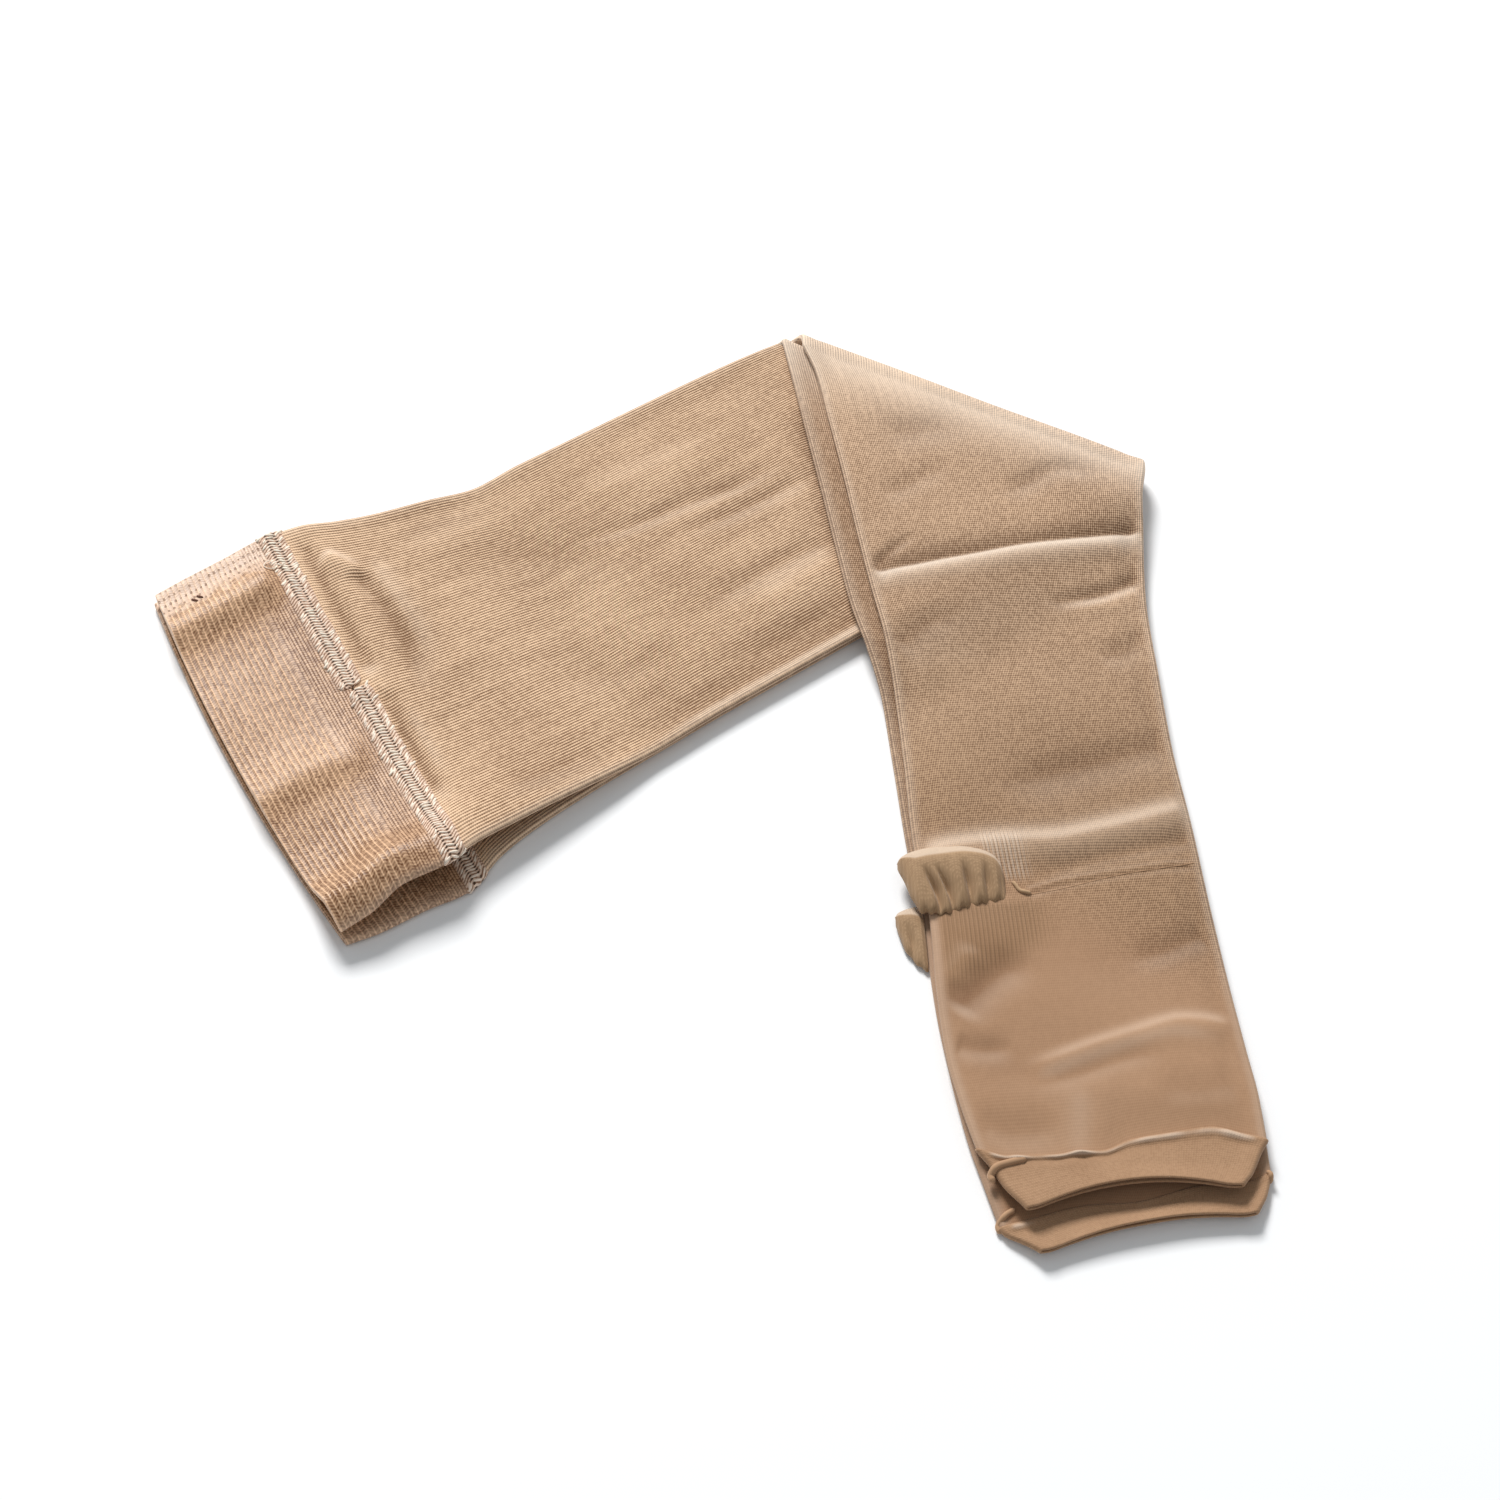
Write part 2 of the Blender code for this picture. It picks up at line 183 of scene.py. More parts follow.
def shinRows(rows, spacing, stack, lead=None):
    rows = filled(rows, 7)
    back, front = onShin(rows[:, 0:1], -rows[:, 1:2]), onShin(rows[:, 2:3], rows[:, 3:4])
    t, more = (rows[:, 0] + rows[:, 2]) / 2, rows[:, 4:]
    if lead is not None:
        step = np.linalg.norm((lead[0] + lead[1]) / 2 - (back[0] + front[0]) / 2)
        back, front = np.vstack([lead[0], back]), np.vstack([lead[1], front])
        t, more = np.concatenate([[t[0] - step], t]), np.vstack([more[0], more])
    at = evenly(t, spacing)
    bow, base, puff = throughRows(t, more, at).T
    return ringRows(
        at,
        back=throughRows(t, back, at),
        front=throughRows(t, front, at),
        bow=bow[:, None] * shinAhead,
        base=stack + base,
        knee=np.ones(len(at)),
        turn=np.full(len(at), 90.0),
        facing=np.tile((0.0, 0.0, -1.0), (len(at), 1)),
        puff=puff,
    )


def joined(*parts):
    return {key: np.concatenate([part[key] for part in parts]) for key in parts[0]}


# creases: paths on the cloth that pull it up or down


def wayAlong(plan):
    # distance along and out from the middle line, in each stretch's own measure
    thigh, shin = plan - lie["thighStart"], plan - lie["shinStart"]
    return (
        np.stack([thigh @ thighAhead, thigh @ thighLeft], axis=-1),
        np.stack([shin @ shinAhead, shin @ shinLeft], axis=-1),
    )


def creaseRelief(place, creases):
    relief = np.zeros(place.shape[:-1])
    for path, height, leftWide, rightWide, fadeIn, fadeOut, *sharp in creases:
        path = np.array(path, float)
        run = runAlong(path)
        path = throughRows(run, path, np.linspace(0, run[-1], 20))
        low, high = path.min(axis=0), path.max(axis=0)
        reach = 3.2 * max(leftWide, rightWide)
        near = np.all((place > low - reach) & (place < high + reach), axis=-1)
        if not near.any():
            continue
        spot = place[near]
        best = np.full(len(spot), 1e9)
        side, share = np.zeros(len(spot)), np.zeros(len(spot))
        for k in range(len(path) - 1):
            way = path[k + 1] - path[k]
            long = np.linalg.norm(way)
            off = spot - path[k]
            t = np.clip(off @ way / long**2, 0, 1)
            gap = np.linalg.norm(off - t[:, None] * way, axis=1)
            closer = gap < best
            best = np.where(closer, gap, best)
            side = np.where(closer, way[0] * off[:, 1] - way[1] * off[:, 0], side)
            share = np.where(closer, (k + t) / (len(path) - 1), share)
        wide = np.where(side > 0, leftWide, rightWide)
        shape = np.exp(-best / wide) if sharp else np.exp(-((best / wide) ** 2))
        ends = smooth(share / max(fadeIn, 1e-3)) * smooth((1 - share) / max(fadeOut, 1e-3))
        relief[near] += height * shape * ends
    return relief


def swell(place, size, height, phase):
    # slow uneven waves
    x, y = place[..., 0] / size, place[..., 1] / size
    return height * (
        0.5 * np.sin(1.9 * x + 1.3 * y + phase)
        + 0.35 * np.sin(-2.7 * x + 2.2 * y + 2.1 * phase)
        + 0.25 * np.sin(4.3 * x + 0.7 * y + 0.6 * phase)
    )


# rings: the skin of a flattened tube, row by row


def halfHollow(inset):
    more = lie["rollHollow"] - lie["hollow"]
    return (lie["hollow"] + more * (1 - smooth(inset / lie["rollWidth"]))) / 2


def kneeRise(plan):
    out = (plan - lie["thighStart"]) @ thighLeft
    return lie["kneeRise"] * smooth((out - lie["thighEdge"]) / lie["fallWidth"] + 1)


def middles(rows, shares, wall):
    # the surface midway between the two sheets, and the way its facing sheet faces
    span = rows["front"] - rows["back"]
    width = np.linalg.norm(span, axis=1)[:, None]
    tip = (halfHollow(0.0) + wall) / width
    share = tip + shares[None, :] * (1 - 2 * tip)
    arch = 4 * share * (1 - share)
    inset = np.minimum(share, 1 - share) * width - tip * width
    half = halfHollow(inset) + rows["puff"][:, None] * arch
    plan = rows["back"][:, None] + share[..., None] * span[:, None] + arch[..., None] * rows["bow"][:, None]
    fromFront = (1 - share) * width
    base, lift, hump, knee = (rows[key][:, None] for key in ("base", "lift", "hump", "knee"))
    height = base + half + wall + lift * (1 - smooth(fromFront / lie["liftWidth"]))
    height = height + hump * np.exp(-(((fromFront - lie["humpInset"]) / lie["humpWidth"]) ** 2))
    height = height + knee * kneeRise(plan)
    middle = np.concatenate([plan, height[..., None]], axis=2)
    run = np.gradient(middle, axis=1)
    run /= np.linalg.norm(run, axis=2, keepdims=True)
    up = rows["facing"][:, None] - run * np.sum(rows["facing"][:, None] * run, axis=2, keepdims=True)
    up /= np.linalg.norm(up, axis=2, keepdims=True)
    return {"middle": middle, "up": up, "run": run, "half": half, "inset": inset, "plan": plan}


def skin(rows, wall, counts, relief=None, thick=None):
    # counts: points across the facing sheet, across the other sheet, and round each rolled edge
    # relief(place, rows, side) gives the creases and how far the sheet stands off
    # thick is how far this skin stands from the hollow
    upper, lower, rolled = counts
    thick = wall if thick is None else thick
    sheets, lifts, edges = [], [], []
    for side, count in ((1, upper), (-1, lower)):
        at = middles(rows, np.linspace(0, 1, count), wall)
        lift = rise = np.zeros(at["half"].shape)
        if relief is not None:
            lift, rise = relief(at, rows, side)
            lift, rise = lift * smooth(at["inset"] / 4), rise * smooth(at["inset"] / 12)
        away = (at["half"] + thick + lift + rise)[..., None]
        sheets.append((at, at["middle"] + side * at["up"] * away))
        lifts.append(lift)
        edges.append(np.exp(-((at["inset"] / 1.6) ** 2)))
    angles = np.linspace(0, math.pi, rolled + 2)[1:-1]
    reach = halfHollow(0.0) + thick
    top, bottom = sheets
    tips = []
    for end, way in ((-1, 1), (0, -1)):
        at = top[0]
        centre, up, out = at["middle"][:, end, None], at["up"][:, end, None], way * at["run"][:, end, None]
        turned = np.cos(angles)[None, :, None] * up + np.sin(angles)[None, :, None] * out
        tips.append(centre + reach * turned)
    points = np.concatenate([top[1], tips[0], bottom[1][:, ::-1], tips[1][:, ::-1]], axis=1)
    wales, roll = lie["walesAcross"], lie["walesRoll"]
    edge = roll * (np.arange(rolled) + 1) / (rolled + 1)
    around = np.concatenate(
        [
            np.linspace(0, wales, upper),
            wales + edge,
            wales + roll + np.linspace(0, wales, lower),
            2 * wales + roll + edge,
            [2 * (wales + roll)],
        ]
    )
    rolls = np.ones((len(rows["t"]), rolled))
    # the first mark later paints shade and highlight from the creases; the second paints a highlight along
    # the rolled edges
    marks = {
        "relief": np.concatenate([lifts[0], 0 * rolls, lifts[1][:, ::-1], 0 * rolls], axis=1),
        "wear": np.concatenate([edges[0], rolls, edges[1][:, ::-1], rolls], axis=1),
    }
    return points, around, marks


def alongLeg(points, rows):
    # the distance along the leg at every point, carried round the fold
    thigh, shin = wayAlong(points[..., :2])
    share = smooth((rows["turn"] + 90) / 180)[:, None]
    return (1 - share) * thigh[..., 0] + share * (shin[..., 0] + lie["foldOffset"])


def placed(points):
    # points in millimetres on the plan, as a plain list in the frame's metres
    return ((points.reshape(-1, 3) - np.array((*lie["middle"], 0.0))) * mm).tolist()


def addMesh(name, points, quads, uvs, finish, marks=None):
    mesh = bpy.data.meshes.new(name)
    mesh.from_pydata(placed(points), [], quads.reshape(-1, 4).tolist())
    mesh.uv_layers.new(name="cloth").data.foreach_set("uv", uvs.astype(np.float32).ravel())
    for label, values in (marks or {}).items():
        numbers = mesh.attributes.new(label, "FLOAT", "POINT").data
        numbers.foreach_set("value", values.astype(np.float32).ravel())
    mesh.shade_smooth()
    mesh.materials.append(finish)
    thing = bpy.data.objects.new(name, mesh)
    bpy.context.collection.objects.link(thing)
    return thing


def ringFaces(around, along, closed=False):
    # the quads between neighbouring rings, and the map's numbers at their corners
    rowCount, ringCount = along.shape
    steps = np.arange(rowCount if closed else rowCount - 1)
    i, j = np.meshgrid(steps, np.arange(ringCount), indexing="ij")
    up, right = (i + 1) % rowCount, (j + 1) % ringCount
    corners = ((i, j, j), (i, right, j + 1), (up, right, j + 1), (up, j, j))
    quads = np.stack([row * ringCount + column for row, column, _ in corners], axis=-1)
    uvs = [np.stack([around[step], along[row, column]], axis=-1) for row, column, step in corners]
    return quads, np.stack(uvs, axis=-2)


def closeEnds(thing):
    # fills the two open ends of a tube
    shape = bmesh.new()
    shape.from_mesh(thing.data)
    bmesh.ops.holes_fill(shape, edges=[edge for edge in shape.edges if edge.is_boundary])
    bmesh.ops.recalc_face_normals(shape, faces=shape.faces)
    shape.to_mesh(thing.data)
    shape.free()


# materials


def addNode(tree, kind, settings, values, out=0):
    # a node, its settings, and its inputs: plain values or other nodes' sockets
    made = tree.nodes.new(kind)
    for key, value in (settings or {}).items():
        setattr(made, key, value)
    for key, value in (values or {}).items():
        value = getattr(value, "socket", value)
        if isinstance(value, bpy.types.NodeSocket):
            tree.links.new(value, made.inputs[key])
        else:
            made.inputs[key].default_value = value
    return made.outputs[out]


class Wire:
    # a shader socket that can stand in a sum: each operator adds one Math node
    def __init__(self, tree, socket):
        self.tree, self.socket = tree, socket

    def calc(self, operation, *values):
        settings = {"operation": operation}
        return Wire(self.tree, addNode(self.tree, "ShaderNodeMath", settings, dict(enumerate(values))))

    def __add__(self, other):
        return self.calc("ADD", self, other)

    __radd__ = __add__

    def __mul__(self, other):
        return self.calc("MULTIPLY", self, other)

    __rmul__ = __mul__

    def __sub__(self, other):
        return self.calc("SUBTRACT", self, other)

    def __rsub__(self, other):
        return self.calc("SUBTRACT", other, self)

    def __truediv__(self, other):
        return self.calc("DIVIDE", self, other)

    def __pow__(self, other):
        return self.calc("POWER", self, other)


class Finish:
    # one cloth: a Principled shader and the nodes that feed it
    def __init__(self, name, roughness, sheen):
        self.material = bpy.data.materials.new(name)
        self.material.use_nodes = True
        self.tree = self.material.node_tree
        self.shader = self.tree.nodes["Principled BSDF"]
        for label, value in (
            ("Roughness", roughness),
            ("Sheen Weight", sheen),
            ("Sheen Roughness", 0.45),
            ("Sheen Tint", (1.0, 0.9, 0.8, 1.0)),
            ("Specular IOR Level", 0.35),
            ("IOR", 1.45),
        ):
            self.shader.inputs[label].default_value = value

    def node(self, kind, settings=None, values=None, out=0):
        return Wire(self.tree, addNode(self.tree, "ShaderNode" + kind, settings, values, out))

    def cloth(self):
        # across the wales and along the leg, from the piece's own map
        split = self.node("SeparateXYZ", None, {0: self.node("UVMap", {"uv_map": "cloth"})})
        return split, Wire(self.tree, split.socket.node.outputs[1])

    def fromBack(self, across):
        # wales from the rolled edge at the back of the leg, on either sheet
        edge = 2 * (lie["walesAcross"] + lie["walesRoll"])
        return across.calc("MINIMUM", across, edge - across)

    def noise(self, scale, detail=2.0):
        # specks of one size all over, in the object's own metres
        values = {"Vector": self.node("TexCoord", out=3), "Scale": scale, "Detail": detail}
        return self.node("TexNoise", None, values)

    def drawn(self, across, along, detail=2.0):
        # specks drawn out along the map
        where = self.node("CombineXYZ", None, {0: across, 1: along})
        return self.node("TexNoise", None, {"Vector": where, "Scale": 1.0, "Detail": detail})

    def wave(self, value):
        # 0 to 1 and back once for each whole step of the value
        turn = value * (2 * math.pi)
        return turn.calc("COSINE", turn) * 0.5 + 0.5

    def mark(self, name):
        # a number that the mesh carries at each point
        return self.node("Attribute", {"attribute_name": name}, out=2)

    def ramp(self, value, low, high):
        # 0 below low, 1 above high
        values = {"Value": value, "From Min": low, "From Max": high}
        return self.node("MapRange", {"interpolation_type": "SMOOTHSTEP"}, values)

    def mix(self, share, *colours):
        first, second = (colour if isinstance(colour, Wire) else (*colour, 1.0) for colour in colours)
        settings = {"data_type": "RGBA", "clamp_factor": True}
        return self.node("Mix", settings, {0: share, 6: first, 7: second}, 2)

    def cell(self, across, along):
        # one even value for each stitch
        corner = {0: across.calc("FLOOR", across), 1: along.calc("FLOOR", along)}
        where = self.node("CombineXYZ", None, corner)
        return self.node("TexWhiteNoise", {"noise_dimensions": "2D"}, {"Vector": where})

    def done(self, colour, height, depth):
        # depth is how far the pattern stands up, in metres
        self.tree.links.new(colour.socket, self.shader.inputs["Base Color"])
        bump = self.node("Bump", None, {"Strength": 1.0, "Distance": depth, "Height": height})
        self.tree.links.new(bump.socket, self.shader.inputs["Normal"])
        return self.material


def rgb(red, green, blue):
    # a screen colour as the light it stands for
    return tuple(((c / 255 + 0.055) / 1.055) ** 2.4 for c in (red, green, blue))


zones = {  # where one knit gives way to the next, in millimetres along the leg
    "shin": (285.0, 350.0),
    "ankle": (420.0, 560.0),
    "foot": (520.0, 572.0),
    "sole": (585.0, 625.0),
    "heel": (566.0, 572.0),
    "heelEnd": (598.0, 612.0),
    "beside": (536.0, 544.0),
    "besideEnd": (556.0, 562.0),
}
knit = {
    "thighLoop": 0.95,  # millimetres from one row of loops to the next
    "shinLoop": 1.05,
    "thighWales": 1.25,  # lines to a wale of the map
    "shinWales": 1.5,
    "thighDark": rgb(120, 84, 54),
    "thighLight": rgb(238, 202, 166),
    "shinDark": rgb(112, 78, 50),
    "shinLight": rgb(222, 186, 152),
    "ankleDark": rgb(106, 74, 48),
    "ankleLight": rgb(188, 152, 118),
    "footDark": rgb(130, 94, 66),
    "footLight": rgb(192, 152, 118),
    "rib": rgb(126, 94, 60),
    "pale": rgb(240, 224, 206),
    "depth": 0.00025,
}


def legKnit(name):
    made = Finish(name, 0.8, 0.2)
    across, along = made.cloth()
    fromBack = made.fromBack(across)
    shin = made.ramp(along, *zones["shin"])
    ankle = made.ramp(along, *zones["ankle"])
    foot = made.ramp(along - fromBack * 0.5, *zones["foot"])
    # the thigh: fine bright lines down the leg, broken between their loops, with long streaks
    wales = across * knit["thighWales"]
    loops = along / knit["thighLoop"]
    lines = made.wave(wales)
    lean = wales.calc("FRACT", wales) - 0.5
    lean = lean.calc("ABSOLUTE", lean)
    gaps = made.wave(loops + lean * 1.2)
    streak = made.drawn(across * 0.28, along * 0.03)
    fleck = made.drawn(across * 2.0, along * 0.34, 1.0)
    cell = made.cell(wales + 0.5, loops)
    fromSeam = along + fromBack * 0.21 - 60.0
    bySeam = 1 - made.ramp(fromSeam + (streak - 0.5) * 16.0, 4.0, 24.0)
    plainStrip = 1 - made.ramp(fromSeam + (streak - 0.5) * 6.0, 1.0, 6.0)
    thigh = (lines - 0.5) * 0.92 + (gaps - 0.5) * 0.34
    thigh = thigh + (streak - 0.5) * 0.5 + (fleck - 0.5) * 0.75 + (cell - 0.5) * 0.14
    thigh = thigh * (1 - plainStrip * 0.7) + bySeam * 0.24
    # the lower leg: a close grid of small holes
    wales, loops = across * knit["shinWales"], along / knit["shinLoop"]
    grid = (made.wave(wales) - 0.5) * 0.85 + (made.wave(loops) - 0.5) * 0.5
    grid = grid + (made.cell(wales + 0.5, loops) - 0.5) * 0.4
    broad = made.noise(16.0, 3.0)
    mottle = made.noise(300.0)
    sole = made.ramp(fromBack, 52.0, 84.0) * (1 - made.ramp(along, *zones["sole"]))
    plain = foot * (1 - sole * 0.5)
    texture = thigh * (1 - shin) + grid * shin
    tone = texture * (1 - plain * 0.85) + (broad - 0.5) * 0.3 + (mottle - 0.5) * 0.14 + 0.5
    # painted shade in the crease valleys and painted highlight on their ridges, read from the relief mark
    tone = tone + made.mark("relief") * 0.55
    thighPaint, shinPaint, anklePaint, footPaint = (
        made.mix(tone, knit[place + "Dark"], knit[place + "Light"])
        for place in ("thigh", "shin", "ankle", "foot")
    )
    colour = made.mix(shin, thighPaint, made.mix(ankle, shinPaint, anklePaint))
    colour = made.mix(foot, colour, footPaint)
    # doubled ribs run down from the heel pocket and up beside it
    low = 1 - made.ramp(along + fromBack * 0.42, *zones["heelEnd"])
    heel = made.ramp(along, *zones["heel"]) * low
    heel = heel * (1 - made.ramp(fromBack, 34.0, 52.0)) * made.ramp(fromBack, 2.0, 6.0)
    beside = made.ramp(along, *zones["beside"]) * (1 - made.ramp(along, *zones["besideEnd"]))
    beside = beside * made.ramp(fromBack, 24.0, 27.0) * (1 - made.ramp(fromBack, 36.0, 44.0))
    heelRibs = made.wave(across * 0.625)
    colour = made.mix(heel * (0.26 + (1 - heelRibs) * 0.26), colour, knit["rib"])
    colour = made.mix(beside * heelRibs * 0.3, colour, knit["pale"])
    # painted highlight, read from the painted-light mark
    colour = made.mix(made.mark("wear"), colour, knit["pale"])
    height = (lines * 0.7 + gaps * 0.25 + cell * 0.2) * (1 - shin) + (grid + 0.6) * 0.5 * shin
    height = height * (1 - plain * 0.8) + (heel + beside) * heelRibs * 1.2
    return made.done(colour, height, knit["depth"])


band = {
    "rib": 2.1,
    "fineRib": 1.2,
    "fineFrom": 33.0,
    "dark": rgb(110, 68, 34),
    "light": rgb(253, 208, 166),
    "pale": rgb(244, 214, 190),
    "hole": rgb(128, 90, 64),
    "depth": 0.00018,
    "ribDepth": 0.10,
    "fineRibDepth": 0.13,
}


def bandKnit(name):
    made = Finish(name, 0.42, 0.3)
    across, along = made.cloth()
    fine = made.ramp(along, band["fineFrom"] - 6.0, band["fineFrom"] + 6.0)
    fleck = made.drawn(across * 1.5, along * 1.1)
    # each rib is a thin bright line, broken here and there
    wide = made.wave(along / band["rib"]) ** 5.0
    close = 1 - made.wave(along / band["fineRib"]) ** 3.0
    lines = wide * made.ramp(fleck, 0.22, 0.5) * (1 - fine * 0.8) * 0.55 + (close - 0.7) * fine * 0.4
    step = made.wave(along / band["rib"] * 0.5)
    ticks = made.wave(across * 1.5 + step * 0.7)
    cell = made.cell(across * 1.5, along / 1.05)
    broad = made.noise(20.0, 3.0)
    patch = made.drawn(across * 0.35, along * 0.22)
    mesh = 1 - made.ramp(made.fromBack(across) + (patch - 0.5) * 14.0, 6.0, 10.0)
    rows = along / band["rib"]
    holes = made.wave(across * 0.5) * made.wave(rows + made.wave(across * 0.25) * 0.25)
    holes = holes * (0.55 + made.cell(across * 0.5 + 0.5, rows + 0.5) * 0.6)
    holes = made.ramp(holes, 0.5, 0.75) * mesh
    tone = lines + (ticks - 0.5) * 0.26 + (cell - 0.5) * 0.34
    tone = tone + (fleck - 0.5) * 0.14 + (broad - 0.5) * 0.2 + 0.23
    # a faint painted shade and highlight from the band's relief
    tone = tone + made.mark("relief") * 0.03
    colour = made.mix(tone, band["dark"], band["light"])
    colour = made.mix(mesh * 0.5, colour, band["pale"])
    colour = made.mix(holes * 0.75, colour, band["hole"])
    # painted highlight on the rolled edges and the rim
    colour = made.mix(made.mark("wear"), colour, band["pale"])
    height = wide * (1 - fine) * 0.5 + close * fine * 0.5 + ticks * 0.2 + cell * 0.2 - holes * 1.2
    return made.done(colour, height, band["depth"])


stitchPitch = 1.45  # millimetres from one overlock stitch to the next


def seamCloth(name):
    made = Finish(name, 0.85, 0.25)
    across, along = made.cloth()
    away = across.calc("ABSOLUTE", across) - 0.34
    rows = made.ramp(away.calc("ABSOLUTE", away), 0.13, 0.05)
    grain = made.noise(900.0)
    # painted shade in the two rows of stitch holes and in the gaps between the threads
    holes = rows * made.ramp(made.wave(along / stitchPitch), 0.3, 0.65)
    zigzag = (made.wave(across * 0.755 - 0.25) - 0.5) * 1.1
    between = made.ramp(made.wave(along / stitchPitch - zigzag + 0.5), 0.3, 0.8)
    tone = (grain - 0.5) * 1.2 + 0.75 - between * 0.7
    colour = made.mix(tone, rgb(140, 104, 80), rgb(248, 218, 194))
    colour = made.mix(holes * 0.95, colour, rgb(74, 50, 32))
    return made.done(colour, grain - holes, 0.0003)


def threadCloth(name, colour):
    made = Finish(name, 0.75, 0.35)
    grain, slow = made.noise(700.0), made.noise(55.0)
    share = (grain - 0.5) * 1.2 + (slow - 0.5) * 1.6 + 0.5
    dark, light = (tuple(min(1.0, part * c) for c in colour) for part in (0.8, 1.14))
    paint = made.mix(share, dark, light)
    return made.done(paint, made.noise(2600.0, 1.0), 0.00008)


def plainKnit(name, dark, light):
    # the dense smooth knit of the heel and toe, with a painted highlight where it stands up
    made = Finish(name, 0.78, 0.2)
    across, along = made.cloth()
    loops = made.wave(across) * made.wave(along / 0.9)
    cell = made.cell(across, along / 0.9)
    broad = made.noise(26.0, 3.0)
    tone = loops * 0.24 + cell * 0.16 + (broad - 0.5) * 0.7 + 0.3
    colour = made.mix(tone, dark, light)
    raisedHighlight = made.ramp(made.mark("relief"), 0.2, 1.4)
    colour = made.mix(raisedHighlight * 0.38, colour, knit["pale"])
    return made.done(colour, loops * 0.5 + cell * 0.3, 0.00012)


legFinish = legKnit("stocking_knit")
bandFinish = bandKnit("band_elastic_knit")
seamFinish = seamCloth("overlock_cloth")
threadFinish = threadCloth("overlock_thread", rgb(255, 231, 212))
darkThreadFinish = threadCloth("dark_thread", rgb(96, 58, 40))
heelFinish = plainKnit("heel_knit", rgb(128, 98, 68), rgb(192, 158, 122))
cuffFinish = plainKnit("cuff_knit", rgb(138, 102, 72), rgb(190, 152, 118))
print("materials made")


# the two stockings

# Thigh rows: back, its distance out, front, its distance out, bow, base, lift, hump.
# Lower leg and cuff rows: back, its distance out, front, its distance out, bow, base, puff.
# Noughts that end a row are left out.
over = {
    "name": "over",
    "stack": 0,
    "band": (
        (8.4, 90, -8.4, 90, -4, 4.7, 0, 7),
        (22, 91, 3, 90.5, -3, 4.7, 2, 8),
        (38, 91.5, 18, 88, -1.5, 4.9, 5, 7),
        (54.9, 92.5, 33, 89.5, 0, 5, 6.5, 4),
    ),
    "thigh": (
        (64.3, 91.5, 42.4, 88, 0, 5, 6.5, 2.5),
        (73, 90, 52, 86.3, 0, 4.6, 6, 1.5),
        (85, 85, 66, 85.8, 0, 4, 5.5, 1),
        (100, 80, 84, 85.3, 0, 3.5, 4.5, 0.5),
        (120, 75, 106, 85, 0, 3.3, 2.5),
        (143, 69, 132, 84, 0, 3.3),
        (163, 70.3, 160, 82.5, 0, 3.3),
        (200, 70.3, 200, 81.7, 0, 3.3),
        (238, 70.2, 245, 80.8, 0, 3.3),
        (262, 69.8, 290, 78.8, 0, 3.3),
        (278, 69, 328, 77, 0, 3.3),
        (288.5, 68, 362, 75, 0, 3.3),
    ),
    "fold": {"reach": 1.9, "backSlip": 3.5, "frontSlip": 2.9},
    "shin": (
        (-8, 70.5, 62, 62.2),
        (20, 67.2, 80, 60.6),
        (50, 63.6, 98, 58.8),
        (82, 60, 116, 57.4),
        (112, 56.3, 134, 57),
        (134, 51.8, 148, 57),
        (156, 47.8, 164, 56.8),
        (185, 46.2, 185, 57),
        (222, 44.6, 222, 59),
        (257, 41.9, 257, 60),
        (297, 40.5, 297, 62),
        (320, 38.4, 320, 64),
        (346, 35, 342, 66),
        (377.8, 27.6, 365.2, 65.4),
    ),
    "cuff": (
        (376.8, 28.4, 364.3, 66),
        (379.8, 26.6, 367.3, 64.6, -0.5, 0.2, 0.1),
        (384.5, 21.5, 373, 62, -2.5, 1, 0.5),
        (389.6, 16.5, 379.5, 58.5, -5, 2.2, 0.7),
    ),
    "sheets": (98, 30),
    "rowSteps": (1.3, 2.0),
    "openSide": 1,
}

under = {
    "name": "under",
    "stack": lie["step"],
    "band": (
        (7.2, 90.3, -8.2, 91.5, -4.8),
        (22, 91.5, 6, 94, -3),
        (38, 92, 22, 94.7, -1.5),
        (56.5, 93, 37.5, 96.6),
    ),
    "thigh": (
        (65.9, 92, 46.9, 94),
        (74, 90.5, 56, 90),
        (86, 85.5, 68, 87.2),
        (101, 80.6, 86, 85),
        (120, 75.6, 106, 83.6),
        (143, 70, 132, 82.6),
        (163, 70.9, 160, 81.5),
        (200, 71.4, 200, 80.8),
        (238, 71.2, 245, 79.8),
        (262, 70.6, 290, 77.8),
        (278, 69.4, 328, 76),
        (288, 68, 362.4, 74),
    ),
    "fold": {"reach": 7.5, "backSlip": 13.5, "frontSlip": 9.0},
    "shin": (
        (-12, 61.2, 64, 65),
        (16, 57.8, 82, 63),
        (46, 54.4, 100, 61, 0, 0.4),
        (78, 51.3, 118, 59.4, 0, 0.5),
        (106, 48.2, 134, 59, 0, 0.5),
        (130, 45, 148, 59, 0, 0.5),
        (156, 43, 164, 58.8, 0, 0.4),
        (188, 42.3, 188, 58.9),
        (222, 42.4, 222, 60.6),
        (257, 39.6, 257, 61.5),
        (292, 40, 292, 62.9),
        (315, 39.2, 318, 64.4, 0, 0.2),
        (332, 36.8, 336, 65.4, 0, 0.8),
        (349.4, 32.7, 352.4, 65.1, 0, 1.2),
    ),
    "cuff": (
        (348.3, 33.4, 351.3, 65.6, 0, 1.2),
        (351.3, 31.4, 354.3, 64, -0.5, 1.2, 0.1),
        (363, 27, 363.5, 59.5, -4, 1.6, 0.6),
        (376, 19.5, 371.5, 54.5, -7, 3.2, 0.9),
    ),
    "sheets": (30, 98),
    "rowSteps": (2.0, 1.0),
    "openSide": -1,
}

